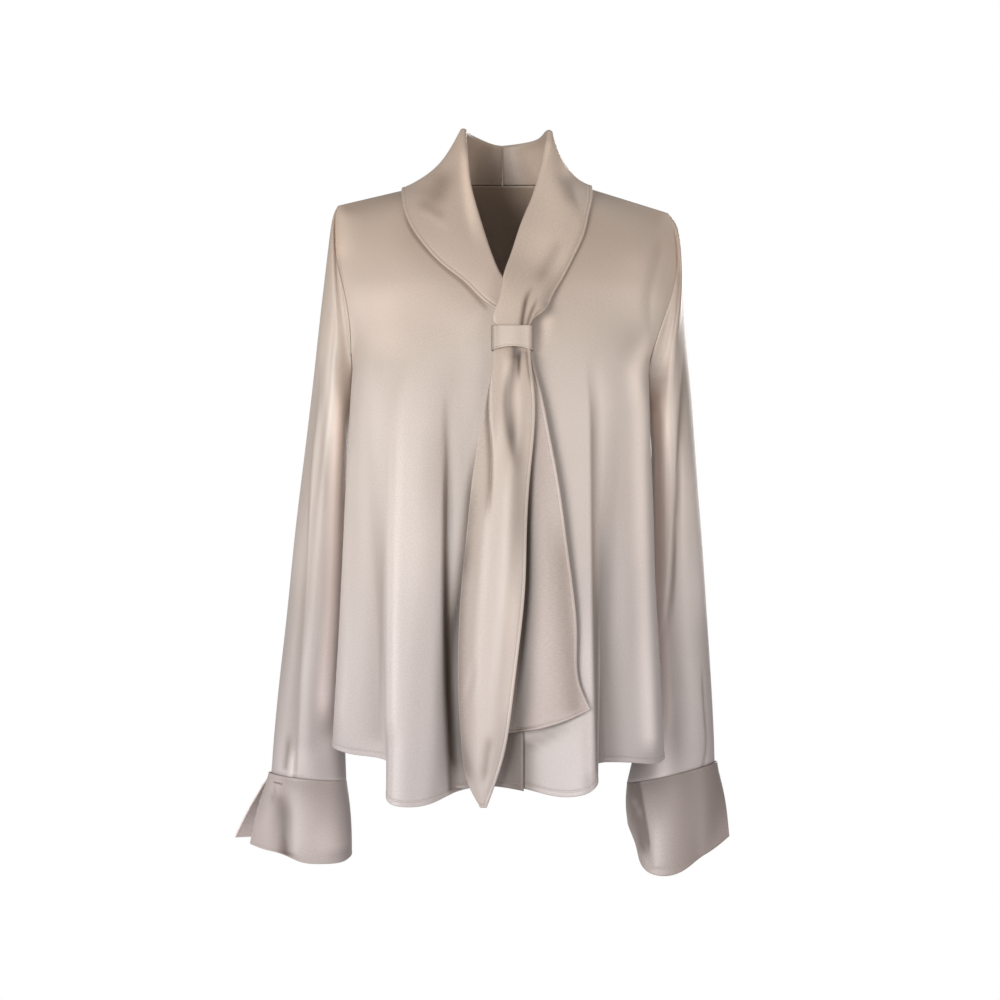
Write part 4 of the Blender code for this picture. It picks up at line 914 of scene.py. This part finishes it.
def edge_distance(grid, *edges):
    """Distance of each point from the nearest of the named edges, along the cloth."""
    down = from_zero(np.linalg.norm(np.diff(grid, axis=0), axis=2))
    across = from_zero(np.linalg.norm(np.diff(grid, axis=1), axis=2), 1)
    runs = {
        "top": down,
        "bottom": down[-1] - down,
        "first": across,
        "last": across[:, -1:] - across,
    }
    return np.min([runs[edge] for edge in edges], axis=0)


def smoothstep(value):
    """Soft step from 0 to 1 as the value goes from 0 to 1."""
    value = np.clip(value, 0, 1)
    return value * value * (3 - 2 * value)


def creased(grid, normal, name, facing):
    """How far creases move each point, and their painted shade and light on it, on the side facing -Y
    (-1) or Y (1).
    """
    moved = np.zeros(grid.shape[:2])
    shade = np.zeros(grid.shape[:2])
    seen = smoothstep(facing * normal[..., 1] * FACING_GAIN)
    flat = grid[..., [0, 2]].reshape(-1, 2)
    share = np.linspace(0, 1, CREASE_POINTS)
    for crease in map(Crease._make, CREASES[name]):
        line = np.array([(x, -drop) for x, drop in crease.line], float)
        run = lengths(line)
        fine = spline(run, line, np.linspace(0, run[-1], CREASE_POINTS))
        ahead = np.gradient(fine, axis=0)
        fade = smoothstep(share / max(crease.start, TINY))
        fade *= smoothstep((1 - share) / max(crease.end, TINY))
        offset = flat[:, None] - fine[None]
        nearest = np.linalg.norm(offset, axis=2).argmin(axis=1)
        offset, ahead = offset[np.arange(len(flat)), nearest], unit(ahead[nearest])
        aside = ahead[:, 0] * offset[:, 1] - ahead[:, 1] * offset[:, 0]
        along = (ahead * offset).sum(axis=1)
        wide = np.where(aside > 0, crease.right, crease.left)
        here = np.interp(share[nearest] * run[-1] + along, share * run[-1], fade, left=0, right=0)
        profile = (here * np.exp(-((aside / wide) ** 2))).reshape(moved.shape)
        moved += crease.out * profile
        shade += crease.tone * profile
    return moved * seen, np.clip(1 + shade * seen, DARKEST, LIGHTEST)


def evened(grid):
    """Grid whose rows at the chest are smoothed along their columns, away from its long edges."""
    drop = -grid[..., 2]
    weight = smoothstep((drop - EVENED_FROM) / EVENED_FADE)
    weight *= smoothstep((EVENED_TO - drop) / EVENED_FADE)
    weight *= smoothstep(edge_distance(grid, "first", "last") / EVENED_ASIDE)
    smooth = grid.copy()
    for _ in range(EVENED_TIMES):
        middle = (smooth[:-2] + 2 * smooth[1:-1] + smooth[2:]) / 4
        smooth[1:-1] += weight[1:-1, :, None] * (middle - smooth[1:-1])
    return smooth


def wander(grid, waves):
    """How far each point of hanging cloth strays, in waves of the given size."""
    points = grid.reshape(-1, 3) / (waves.wide, waves.wide, waves.tall) + waves.seed
    values = [noise.noise(Vector(point)) for point in points]
    return waves.amount * np.reshape(values, grid.shape[:2])


def rolled(far, roll):
    """Extra height by a finished edge: a soft roll, then the groove that its stitches pull in."""
    at = EDGE_LINES[roll.line]
    swell = roll.swell * np.clip(1 - (far / at) ** ROLL_FULLNESS, 0, 1)
    return swell - roll.groove * np.exp(-(((far - at) / GROOVE_WIDTH) ** 2))


def edge_ways(grid, round_closed):
    """Unit steps past the nearest finished edge, for the points that lie on one."""
    away = np.zeros_like(grid)
    away[0] += unit(grid[0] - grid[1])
    away[-1] += unit(grid[-1] - grid[-2])
    if not round_closed:
        away[:, 0] += unit(grid[:, 0] - grid[:, 1])
        away[:, -1] += unit(grid[:, -1] - grid[:, -2])
    return unit(away)


def wall_of(outer, inner, edge, round_closed):
    """Points and faces of a wall between two grids, and which grid point each of them is from."""
    count = outer.shape[0] * outer.shape[1]
    corner = np.arange(count).reshape(outer.shape[:2])
    if round_closed:
        wrapped = np.concatenate([corner, corner[:, :1]], axis=1)
        rings = [corner[0, ::-1], corner[-1]]
    else:
        wrapped = corner
        around = [corner[:-1, 0], corner[-1, :-1], corner[:0:-1, -1], corner[0, :0:-1]]
        rings = [np.concatenate(around)]
    quads = quads_of(wrapped)
    points = [outer.reshape(-1, 3), inner.reshape(-1, 3)]
    faces = [quads, quads[:, ::-1] + count]
    own = [np.arange(count), np.arange(count)]
    first = 2 * count
    for ring in rings:
        rim = first + np.arange(len(ring))
        onward, rim_on = np.roll(ring, -1), np.roll(rim, -1)
        points.append(edge.reshape(-1, 3)[ring])
        faces.append(np.stack([onward, ring, rim, rim_on], axis=1))
        faces.append(np.stack([rim_on, rim, ring + count, onward + count], axis=1))
        own.append(ring)
        first += len(ring)
    return np.concatenate(points), np.concatenate(faces), np.concatenate(own)


def cloth_uv(grid, corners_own, round_closed):
    """Places on the flat cloth, in metres, of the faces' corners."""
    if round_closed:
        u = from_zero(np.linalg.norm(np.roll(grid, -1, 1) - grid, axis=2).mean(axis=0))
        v = from_zero(np.linalg.norm(np.diff(grid, axis=0), axis=2).mean(axis=1))
    else:
        u, v = lengths(grid.mean(axis=0)), lengths(grid.mean(axis=1))
    columns = grid.shape[1]
    uv = np.stack(np.broadcast_arrays(u[None, :columns], v[:, None]), axis=-1).reshape(-1, 2)
    corners = uv[corners_own]
    if round_closed:  # the faces that close the tube run on to its whole length round
        late = corners[..., 0].max(axis=1, keepdims=True) > u[-1] * (1 - NEAR_CLOSE)
        corners[..., 0] += u[-1] * (late & (corners[..., 0] < u[-1] * NEAR_CLOSE))
    return (corners * MM).reshape(-1).astype(np.float32)


def added(name, data):
    """Object of some data, in the scene."""
    item = bpy.data.objects.new(name, data)
    bpy.context.scene.collection.objects.link(item)
    return item


def dressed(name, mesh, look):
    """Object of a finished mesh, in its look and on the garment's one body."""
    mesh.shade_smooth()
    mesh.materials.append(MATERIALS[look])
    piece = added(name, mesh)
    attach(piece, "root")
    return piece


def shell(node, grid, sign, half_wall, extra, look, shade, round_closed=False):
    """Closed object of one cloth piece: its two faces with rounded edges between them."""
    normal = outward_of(grid, sign, round_closed)
    high = half_wall + extra
    low = half_wall + np.maximum(extra, -INNER_GROOVE)
    outer, inner = grid + normal * high[..., None], grid - normal * low[..., None]
    edge = grid + edge_ways(grid, round_closed) * (RIM_SHARE * (high + low) / 2)[..., None]
    points, faces, own = wall_of(outer, inner, edge, round_closed)
    if sign > 0:
        faces = faces[:, ::-1]
    mesh = bpy.data.meshes.new(node + "_cloth")
    mesh.from_pydata((points * MM).tolist(), [], faces.tolist())
    layer = mesh.uv_layers.new(name="Cloth")
    layer.data.foreach_set("uv", cloth_uv(grid, own[faces], round_closed))
    # the creases' painted shade and light, one value a point, which the satin's colour reads
    depth = mesh.attributes.new("Depth", "FLOAT", "POINT")
    depth.data.foreach_set("value", shade.reshape(-1)[own].astype(np.float32))
    piece = dressed(node + "_cloth", mesh, look)
    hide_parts(node)
    return piece, outer, normal


def small_piece(name, points, faces, look):
    """Object of a small piece that isn't a sheet, such as thread or a button."""
    mesh = bpy.data.meshes.new(name)
    mesh.from_pydata((np.asarray(points) * MM).tolist(), [], faces)
    return dressed(name, mesh, look)


def stitches(name, lines, pitch=STITCH_PITCH, length=STITCH_LENGTH):
    """One object of small stitches, laid end to end with short gaps along lines on the cloth."""
    turn = 2 * math.pi * np.arange(STITCH_SIDES) / STITCH_SIDES
    points, faces = [], []
    for line, normal in lines:
        run = lengths(line)
        count = max(1, round(run[-1] / pitch))
        middles = (np.arange(count) + 0.5) / count
        at = at_shares(line, middles)
        span = DIRECTION_SPAN / count
        ahead = unit(at_shares(line, middles + span) - at_shares(line, middles - span))
        rise = unit(read_along(run, normal, middles * run[-1]))
        side = unit(np.cross(ahead, rise))
        rings = []
        for place, radius in STITCH_RINGS:
            centre = at + ahead * place * length / 2
            around = side[:, None] * np.cos(turn)[:, None] + rise[:, None] * np.sin(turn)[:, None]
            rings.append(centre[:, None] + around * radius)
        rings = np.stack(rings, axis=1)
        first = sum(len(part) for part in points)
        index = first + np.arange(rings[..., 0].size).reshape(rings.shape[:3])
        points.append(rings.reshape(-1, 3))
        closed = np.concatenate([index, index[:, :, :1]], axis=2)
        quads = [closed[:, :-1, :-1], closed[:, :-1, 1:], closed[:, 1:, 1:], closed[:, 1:, :-1]]
        faces.extend(np.stack(quads, axis=-1).reshape(-1, 4).tolist())
        faces.extend(index[:, 0, ::-1].tolist())
        faces.extend(index[:, -1].tolist())
    return small_piece(name, np.concatenate(points), faces, "thread")


def buttonhole(name, outer, normal, down, start, end, slot):
    """Slit, a dark strip of painted shade, with a row of close stitches across each of its lips and a
    bar at its ends.
    """
    row = np.abs(lengths(outer[:, len(outer[0]) // 4]) - down).argmin()
    run = lengths(outer[row])
    wanted = np.linspace(start, end, BUTTONHOLE_STITCHES)
    spots = read_along(run, outer[row], wanted)
    ways = unit(read_along(run, normal[row], wanted))
    along = unit(spots[-1] - spots[0])
    acrosses = unit(np.cross(ways, along))
    half = BUTTONHOLE_WIDTH / 2
    lines = []
    for spot, way, across in zip(spots, ways, acrosses):
        at = spot + way * LIP_LIFT
        for lip in (-1, 1):
            line = np.array([at + across * lip * LIP_INSET, at + across * lip * half])
            lines.append((line, np.array([way, way])))
    for i in (0, -1):
        at = spots[i] + ways[i] * BAR_LIFT
        for shift in BAR_SHIFTS:
            middle = at + along * shift
            line = np.array([middle - acrosses[i] * half, middle + acrosses[i] * half])
            lines.append((line, np.array([ways[i], ways[i]])))
    threads = stitches(name, lines, ONE_STITCH, half)
    # the slit: a dark strip of painted shade just off the cloth
    floor, lip = spots + ways * SLIT_LIFT, acrosses * SLIT_HALF
    slit = np.stack([floor - lip, floor + lip], axis=1)[1:-1]
    strip = [[2 * i, 2 * i + 1, 2 * i + 3, 2 * i + 2] for i in range(len(slit) - 1)]
    return threads, small_piece(name + "_slit", slit.reshape(-1, 3), strip, "slit")


def cut_holes(piece, middle, across, upward, way):
    """Cuts a button's four holes."""
    turned = Matrix((across, upward, way)).transposed().to_4x4()
    radius, depth = HOLE_RADIUS * MM, HOLE_DEPTH * MM
    cutters = bmesh.new()
    for x in (-1, 1):
        for y in (-1, 1):
            at = middle + across * x * HOLE_SPREAD + upward * y * HOLE_SPREAD
            bmesh.ops.create_cone(
                cutters, cap_ends=True, segments=HOLE_SIDES, radius1=radius, radius2=radius,
                depth=depth, matrix=Matrix.Translation(Vector(at * MM)) @ turned,
            )
    holes = bpy.data.meshes.new("holes")
    cutters.to_mesh(holes)
    cutters.free()
    cutter = added("holes", holes)
    cut = piece.modifiers.new("holes", "BOOLEAN")
    cut.object = cutter
    cut.solver = "EXACT"
    bpy.context.view_layer.update()
    whole = piece.evaluated_get(bpy.context.evaluated_depsgraph_get())
    done = bpy.data.meshes.new_from_object(whole)
    piece.modifiers.clear()
    piece.data = done
    bpy.data.objects.remove(cutter)


def button(name, node, outer, normal):
    """Four-hole button with a raised rim, where its node stands, and its sewing thread."""
    low, high = (np.array(corner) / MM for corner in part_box(node))
    middle = (low + high) / 2
    gap = np.linalg.norm(outer.reshape(-1, 3) - middle, axis=1)
    way = normal.reshape(-1, 3)[gap.argmin()]
    across = unit(np.cross(way, (0, 0, 1)))
    upward = np.cross(across, way)
    turns = 2 * math.pi * np.arange(BUTTON_SIDES) / BUTTON_SIDES
    ring = np.cos(turns)[:, None] * across + np.sin(turns)[:, None] * upward
    points = [middle + ring * radius + way * height for radius, height in BUTTON_PROFILE]
    corner = np.arange(len(points) * BUTTON_SIDES).reshape(len(points), BUTTON_SIDES)
    faces = []
    for under, over in zip(corner[:-1], corner[1:]):
        quads = [under, np.roll(under, -1), np.roll(over, -1), over]
        faces.extend(np.stack(quads, axis=1).tolist())
    faces += [corner[0, ::-1].tolist(), corner[-1].tolist()]
    piece = small_piece(name, np.concatenate(points), faces, "button_pearl")
    cut_holes(piece, middle, across, upward, way)
    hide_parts(node)
    lines = []
    for shift in (-THREAD_ASIDE, THREAD_ASIDE):
        for y in (-1, 1):
            aside = upward * (y * HOLE_SPREAD + shift)
            ends = [middle + across * x * HOLE_SPREAD + aside + way * THREAD_HEIGHT for x in (-1, 1)]
            lines.append((np.array(ends), np.array([way, way])))
    length = 2 * HOLE_SPREAD + THREAD_SPARE
    return piece, stitches(name + "_thread", lines, ONE_STITCH, length)


# One satin throughout: its ramp by height paints light and shade, darker and warmer at the shoulders and
# cooler at the hem, and the copies for the cuffs and ties are painted somewhat darker.
COLOURS = {  # linear, at the shoulders, the chest and the hem, with painted light and shade
    "satin": ((0.51, 0.392, 0.305), (0.565, 0.488, 0.440), (0.466, 0.411, 0.404)),
    "cuff_satin": ((0.52, 0.405, 0.322), (0.56, 0.48, 0.43), (0.44, 0.375, 0.365)),
    "front_tie_satin": ((0.53, 0.420, 0.340), (0.50, 0.408, 0.345), (0.44, 0.375, 0.350)),
    "rear_tie_satin": ((0.525, 0.408, 0.325), (0.52, 0.43, 0.385), (0.47, 0.395, 0.375)),
}
HEM_Z, SHOULDERS_Z, CHEST_SHARE = -0.62, 0.02, 0.55  # heights in metres, and a share between them
FOLD_POWERS = (0.90, 1.0, 1.08)  # of red, green and blue: the folds' painted shade goes warmer as it goes darker
DYE_SCALE, RIB_SCALE, FLECK_SCALE = 9, 330, 620
RIB_BEND = 1.5
DYE_TONES, RIB_TONES, FLECK_TONES = (0.95, 1.04), (0.95, 1.04), (0.90, 1.10)
FLECK_RANGE = (0.25, 0.75)
SATIN_ROUGHNESS = (0.38, 0.48)
Grain = namedtuple("Grain", "scale strength distance")
GRAINS = (
    Grain((2400, 500, 1), 0.6, 0.00006),  # the floats of the warp
    Grain((260, 40, 1), 0.3, 0.00025),  # slubs
    Grain((60, 7, 1), 0.25, 0.0006),  # slight tension marks
)


def feed(tree, node, inputs):
    """Gives a node's inputs their values, or links them to other nodes' outputs."""
    for name, value in inputs.items():
        if isinstance(value, bpy.types.NodeSocket):
            tree.links.new(value, node.inputs[name])
        else:
            node.inputs[name].default_value = value


def add(tree, kind, output, inputs, **settings):
    """Output of a new node with these inputs and settings."""
    node = tree.nodes.new("ShaderNode" + kind)
    for name, value in settings.items():
        setattr(node, name, value)
    feed(tree, node, inputs)
    return node.outputs[output]


def mapped(tree, value, to, start=(0, 1)):
    """A value that goes between two numbers, mapped to go between two others."""
    inputs = {"Value": value, "From Min": start[0], "From Max": start[1]}
    return add(tree, "MapRange", "Result", {**inputs, "To Min": to[0], "To Max": to[1]})


def maths(tree, operation, first, second):
    """One step of arithmetic on two values."""
    return add(tree, "Math", "Value", {0: first, 1: second}, operation=operation)


def ramp(tree, share, first, last, middle=None):
    """Colour that goes from the first to the last one with a share, through a middle one."""
    node = tree.nodes.new("ShaderNodeValToRGB")
    stops = node.color_ramp.elements
    stops[0].color, stops[1].color = (*first, 1), (*last, 1)
    if middle:
        stops.new(CHEST_SHARE).color = (*middle, 1)
    feed(tree, node, {"Fac": share})
    return node.outputs["Color"]


def new_material(name):
    """Material with nodes, its tree and its shader."""
    material = bpy.data.materials.new(name)
    material.use_nodes = True
    return material, material.node_tree, material.node_tree.nodes["Principled BSDF"]


def satin_colour(tree, place, cloth, dye, shoulders, chest, hem):
    """Colour by height (partly painted light), uneven with dye, ribs and flecks, with the creases'
    painted shade.
    """
    height = add(tree, "SeparateXYZ", "Z", {0: place})
    colour = ramp(tree, mapped(tree, height, (0, 1), (HEM_Z, SHOULDERS_Z)), hem, shoulders, chest)
    fleck = add(tree, "TexNoise", "Fac", {"Vector": cloth, "Scale": FLECK_SCALE, "Detail": 3})
    wave = {"Vector": cloth, "Scale": RIB_SCALE, "Distortion": RIB_BEND}
    ribs = add(tree, "TexWave", "Fac", wave, bands_direction="DIAGONAL")
    # painted shade and light of the creases, kept on the points
    depth = add(tree, "Attribute", "Fac", {}, attribute_name="Depth")
    tone = mapped(tree, dye, DYE_TONES)
    # the dye's tone, its flecks and ribs, and the creases' painted light where above 1
    for factor in (
        mapped(tree, fleck, FLECK_TONES, FLECK_RANGE),
        mapped(tree, ribs, RIB_TONES),
        maths(tree, "MAXIMUM", depth, 1.0),
    ):
        tone = maths(tree, "MULTIPLY", tone, factor)
    lit = add(tree, "VectorMath", "Vector", {0: colour, "Scale": tone}, operation="SCALE")
    # the creases' painted shade where below 1, warmer as it goes darker
    dark = maths(tree, "MINIMUM", depth, 1.0)
    dimmed = {i: maths(tree, "POWER", dark, power) for i, power in enumerate(FOLD_POWERS)}
    folds = add(tree, "CombineXYZ", "Vector", dimmed)
    return add(tree, "VectorMath", "Vector", {0: lit, 1: folds}, operation="MULTIPLY")


def satin_relief(tree, cloth):
    """Bumps of the weave, one on another, from the finest to the widest."""
    below = {}
    for scale, strength, distance in GRAINS:
        stretched = add(tree, "Mapping", "Vector", {"Vector": cloth, "Scale": scale})
        grain = add(tree, "TexNoise", "Fac", {"Vector": stretched, "Scale": 1, "Detail": 2})
        inputs = {"Height": grain, "Strength": strength, "Distance": distance, **below}
        below = {"Normal": add(tree, "Bump", "Normal", inputs)}
    return below["Normal"]


def cloth_material(name, colours):
    """Satin: long floats of warp over a fine ground, a soft gloss along them, uneven dye and painted
    shade.
    """
    material, tree, shader = new_material(name)
    place = add(tree, "TexCoord", "Object", {})
    cloth = add(tree, "UVMap", "UV", {}, uv_map="Cloth")
    dye = add(tree, "TexNoise", "Fac", {"Vector": place, "Scale": DYE_SCALE, "Detail": 3})
    looks = {
        "Base Color": satin_colour(tree, place, cloth, dye, *colours),
        "Normal": satin_relief(tree, cloth),
        "Roughness": mapped(tree, dye, SATIN_ROUGHNESS),
        "Tangent": add(tree, "Tangent", "Tangent", {}, direction_type="UV_MAP", uv_map="Cloth"),
        "Anisotropic": 0.5,
        "Specular IOR Level": 0.7,
        "Sheen Weight": 0.1,
        "Sheen Roughness": 0.4,
        "Sheen Tint": (1.0, 0.93, 0.88, 1),
    }
    feed(tree, shader, looks)
    return material


def small_material(name, kind, inputs, roughness, dark, light):
    """Material between two colours by a texture, with what is needed to add to it."""
    material, tree, shader = new_material(name)
    place = add(tree, "TexCoord", "Object", {})
    texture = add(tree, kind, "Fac", {"Vector": place, **inputs})
    feed(tree, shader, {"Base Color": ramp(tree, texture, dark, light), "Roughness": roughness})
    return material, tree, shader, texture


def thread_material():
    """Twisted sewing thread, matt beside the satin and a shade darker."""
    colours = (0.40, 0.335, 0.295), (0.52, 0.445, 0.40)
    return small_material("thread", "TexWave", {"Scale": 900}, 0.6, *colours)[0]


def slit_material():
    """Painted shade inside a buttonhole's slit: a dark strip with raw threads."""
    colours = (0.05, 0.04, 0.035), (0.16, 0.13, 0.115)
    return small_material("slit", "TexNoise", {"Scale": 2500}, 0.9, *colours)[0]


def button_material():
    """Pearly moulded plastic, with faint layers under a glossy face."""
    colours = (0.50, 0.42, 0.36), (0.72, 0.65, 0.58)
    inputs = {"Scale": 260, "Detail": 4}
    material, tree, shader, layers = small_material(
        "button_pearl", "TexNoise", inputs, 0.22, *colours
    )
    relief = {"Height": layers, "Strength": 0.2, "Distance": 0.0001}
    feed(tree, shader, {"Normal": add(tree, "Bump", "Normal", relief), "Coat Weight": 0.3})
    return material


MATERIALS = {name: cloth_material(name, colours) for name, colours in COLOURS.items()}
for material in (thread_material(), button_material(), slit_material()):
    MATERIALS[material.name] = material

Sheet = namedtuple("Sheet", "flat area")


def run_of(outer, normal, rows, columns):
    """A line just off the cloth's outer face with its normals, for stitches that lie on it."""
    way = normal[rows, columns]
    return outer[rows, columns] + way * STITCH_LIFT, way


def dress_panel(node, grid, sign, facing):
    """A front or the back, with its creases, its rolled hem and the hem's stitches."""
    normal = outward_of(grid, sign, False)
    loose = smoothstep(edge_distance(grid, "top", "last", "first") / PANEL_FADE)
    push, shade = creased(grid, normal, node, facing)
    is_front = node != "back"
    if is_front:
        grid = evened(grid)
    push += wander(grid, BODY_WAVES) * fold_weight(grid) ** WAVE_GROWTH
    shaped = grid + normal * (push * loose)[..., None]
    extra = rolled(edge_distance(shaped, "bottom"), HEM_ROLL)
    if is_front:
        below_v = smoothstep((-grid[..., 2] - LAP_TOP) / LAP_FADE)
        extra += rolled(edge_distance(shaped, "first"), LAP_ROLL) * below_v
    piece, outer, ways = shell(node, shaped, sign, HALF_WALL, extra, "satin", shade)
    lines = [run_of(outer, ways, -1 - HEM_LINE, HEM_ENDS)]
    seam = stitches(node + "_hem_stitches", lines)


def dress_sleeve(side, sign, tube):
    """A sleeve, with its creases and an uneven side where it hangs clear of the body."""
    node = "sleeve_" + side
    normal = outward_of(tube, sign, True)
    loose = smoothstep(edge_distance(tube, "top", "bottom") / SLEEVE_FADE)
    clear = smoothstep((sign * normal[..., 0] + SLEEVE_OUTSIDE) * SLEEVE_OUTSIDE_GAIN)
    push, shade = creased(tube, normal, node, -1)
    push *= smoothstep(edge_distance(tube, "top") / SLEEVE_TOP_FADE)
    push += wander(tube, SLEEVE_WAVES) * loose * clear
    shaped = tube + normal * push[..., None]
    plain = np.zeros(shaped.shape[:2])
    piece, _, _ = shell(node, shaped, sign, HALF_WALL, plain, "satin", shade, True)


def dress_cuff(side, sign, band):
    """A cuff, its button, and the buttonhole of the right one, which shows."""
    node = "cuff_" + side
    normal = outward_of(band, sign, False)
    push, shade = creased(band, normal, node, -1)
    # painted light on the inside of the under lap, which the upper lap shades
    if side == "right":
        shade *= creased(band, normal, "cuff_right_inside", 1)[1]
    push *= smoothstep(edge_distance(band, "top") / CUFF_TOP_FADE)
    band = band + normal * push[..., None]
    extra = rolled(edge_distance(band, "top", "bottom", "first", "last"), CUFF_ROLL)
    piece, outer, ways = shell(
        node, band, sign, DOUBLE_HALF_WALL, extra, "cuff_satin", shade
    )
    extras = []
    if side == "right":
        extras += buttonhole("cuff_buttonhole", outer, ways, *BUTTONHOLE_PLACE, "satin")
    button(f"cuff_button_{side}_detail", "cuff_button_" + side, outer, ways)


def dress_collar_tie(side, sign, strip, look):
    """Half the collar with its tie end, and the stitches along its finished edges."""
    node = "collar_tie_" + side
    normal = outward_of(strip, sign, False)
    push, shade = creased(strip, normal, node, -1)
    height = strip[..., 2].mean(axis=1, keepdims=True)
    from_keeper = np.abs(height + KEEPER_TOP + KEEPER_HEIGHT / 2) - KEEPER_HEIGHT / 2
    push *= smoothstep((from_keeper + KEEPER_CLEAR) / KEEPER_FADE)
    strip = strip + normal * push[..., None]
    far = edge_distance(strip, "first", "bottom")
    if side == "right":
        inner = edge_distance(strip, "last")
        inner[: COLLAR_LENGTH_ROWS + LAST_COLLAR_ROWS] = FAR
        far = np.minimum(far, inner)
    extra = rolled(far, TIE_ROLL)
    piece, outer, ways = shell(
        node, strip, sign, DOUBLE_HALF_WALL, extra, look, shade
    )
    edge_row = -1 - STITCH_LINE
    lines = [
        run_of(outer, ways, slice(0, edge_row), STITCH_LINE),
        run_of(outer, ways, edge_row, slice(STITCH_LINE, edge_row)),
    ]
    if side == "right":
        lines.append(run_of(outer, ways, slice(COLLAR_LENGTH_ROWS, edge_row), edge_row))
    seam = stitches(node + "_stitches", lines)


def dress_keeper(loop):
    """The loop that holds the tie ends, with painted shade where it turns in at its sides."""
    x = loop[..., 0]
    at, over = KEEPER_RIGHT_SHADE
    shade = 1 - KEEPER_SHADE * smoothstep((x - KEEPER_SIDES[1] + at) / over)
    at, over = KEEPER_LEFT_SHADE
    shade *= 1 - KEEPER_SHADE * smoothstep((KEEPER_SIDES[0] + at - x) / over)
    shade *= creased(loop, outward_of(loop, -1, True), "keeper", -1)[1]
    extra = rolled(edge_distance(loop, "bottom"), KEEPER_ROLL)
    piece, _, _ = shell(
        "keeper", loop, -1, DOUBLE_HALF_WALL, extra, "satin", shade, True
    )


right = front(FRONT_RIGHT, HEM_RIGHT)
left = front(FRONT_LEFT, HEM_LEFT)
rear = back(BACK)
body_tree = tree_of(right[:, ::-1], left, rear[:, ::-1])
dress_panel("front_right", right, 1, -1)
dress_panel("front_left", left, -1, -1)
dress_panel("back", rear, 1, 1)
for side, sign, rows, panel, edge, hem in (
    ("right", -1, SLEEVE_RIGHT, right, 0, CUFF_HEM_RIGHT),
    ("left", 1, SLEEVE_LEFT, left, -1, CUFF_HEM_LEFT),
):
    dress_sleeve(side, sign, sleeve(rows, armhole(panel, rear, edge, sign), body_tree))
    dress_cuff(side, sign, cuff(rows[-1], hem))
for side, sign, stations, ties, panel, look in (
    ("right", -1, COLLAR_RIGHT, TIE_RIGHT, right, "rear_tie_satin"),
    ("left", 1, COLLAR_LEFT, TIE_LEFT, left, "front_tie_satin"),
):
    neckline = half_neckline(rear, panel, sign)
    strip = collar_tie(stations, ties, neckline, body_tree, -sign)
    dress_collar_tie(side, sign, strip, look)
dress_keeper(keeper())

# The studio, in metres.
FLOOR_RADIUS, FLOOR_Z, FLOOR_SIDES = 2.6, -1.42, 96
FLOOR_GREY = 0.8
BACKDROP, BACKDROP_LIGHT = 1.0, 0.27  # how bright it looks, and how bright it shines
CAMERA_AWAY, SEEN_WIDTH, SENSOR_WIDTH = 3.2, 1.1, 36
PHOTO_X, PHOTO_Z = -0.0066, -0.3465  # what the photo's centre shows
Lamp = namedtuple("Lamp", "at aim size watts colour")
LAMPS = {
    "key": Lamp((-1.4, -2.7, -0.25), (0, 0, -0.30), 1.4, 60, (1.0, 0.985, 0.965)),
    "fill": Lamp((2.0, -2.2, -0.2), (0, 0, -0.30), 1.6, 25, (1.0, 0.98, 0.96)),
    "left": Lamp((-2.4, -0.3, -0.3), (0, 0, -0.35), 1.0, 12, (1.0, 0.985, 0.965)),
    "behind": Lamp((0.9, 2.7, 0.1), (0, 0, -0.35), 1.6, 26, (1.0, 0.98, 0.96)),
    "top": Lamp((0.2, 0.6, 1.6), (0, 0, -0.2), 1.2, 4, (1.0, 0.97, 0.94)),
}

turns = 2 * math.pi * np.arange(FLOOR_SIDES) / FLOOR_SIDES
circle = [(FLOOR_RADIUS * math.cos(a), FLOOR_RADIUS * math.sin(a), FLOOR_Z) for a in turns]
floor_mesh = bpy.data.meshes.new("floor")
floor_mesh.from_pydata(circle, [], [list(range(FLOOR_SIDES))])
floor_material, tree, shader = new_material("floor")
feed(tree, shader, {"Base Color": (FLOOR_GREY, FLOOR_GREY, FLOOR_GREY, 1)})
floor_mesh.materials.append(floor_material)
added("floor", floor_mesh)

for name, lamp in LAMPS.items():
    data = bpy.data.lights.new(name, "AREA")
    data.shape = "DISK"
    data.size = lamp.size
    data.energy = lamp.watts
    data.color = lamp.colour
    item = added(name, data)
    item.location = lamp.at
    aim = Vector(lamp.aim) - Vector(lamp.at)
    item.rotation_euler = aim.to_track_quat("-Z", "Y").to_euler()

world = bpy.data.worlds.new("studio")
world.use_nodes = True
bpy.context.scene.world = world
tree = world.node_tree
seen = add(tree, "LightPath", "Is Camera Ray", {})
strength = mapped(tree, seen, (BACKDROP_LIGHT, BACKDROP))
feed(tree, tree.nodes["Background"], {"Strength": strength, "Color": (1, 1, 1, 1)})

camera_data = bpy.data.cameras.new("camera")
camera_data.sensor_width = SENSOR_WIDTH
camera_data.lens = SENSOR_WIDTH * CAMERA_AWAY / SEEN_WIDTH
camera = added("camera", camera_data)
camera.location = (PHOTO_X, -CAMERA_AWAY, PHOTO_Z)
camera.rotation_euler = (math.pi / 2, 0, 0)
bpy.context.scene.camera = camera
bpy.context.scene.view_settings.view_transform = "Standard"
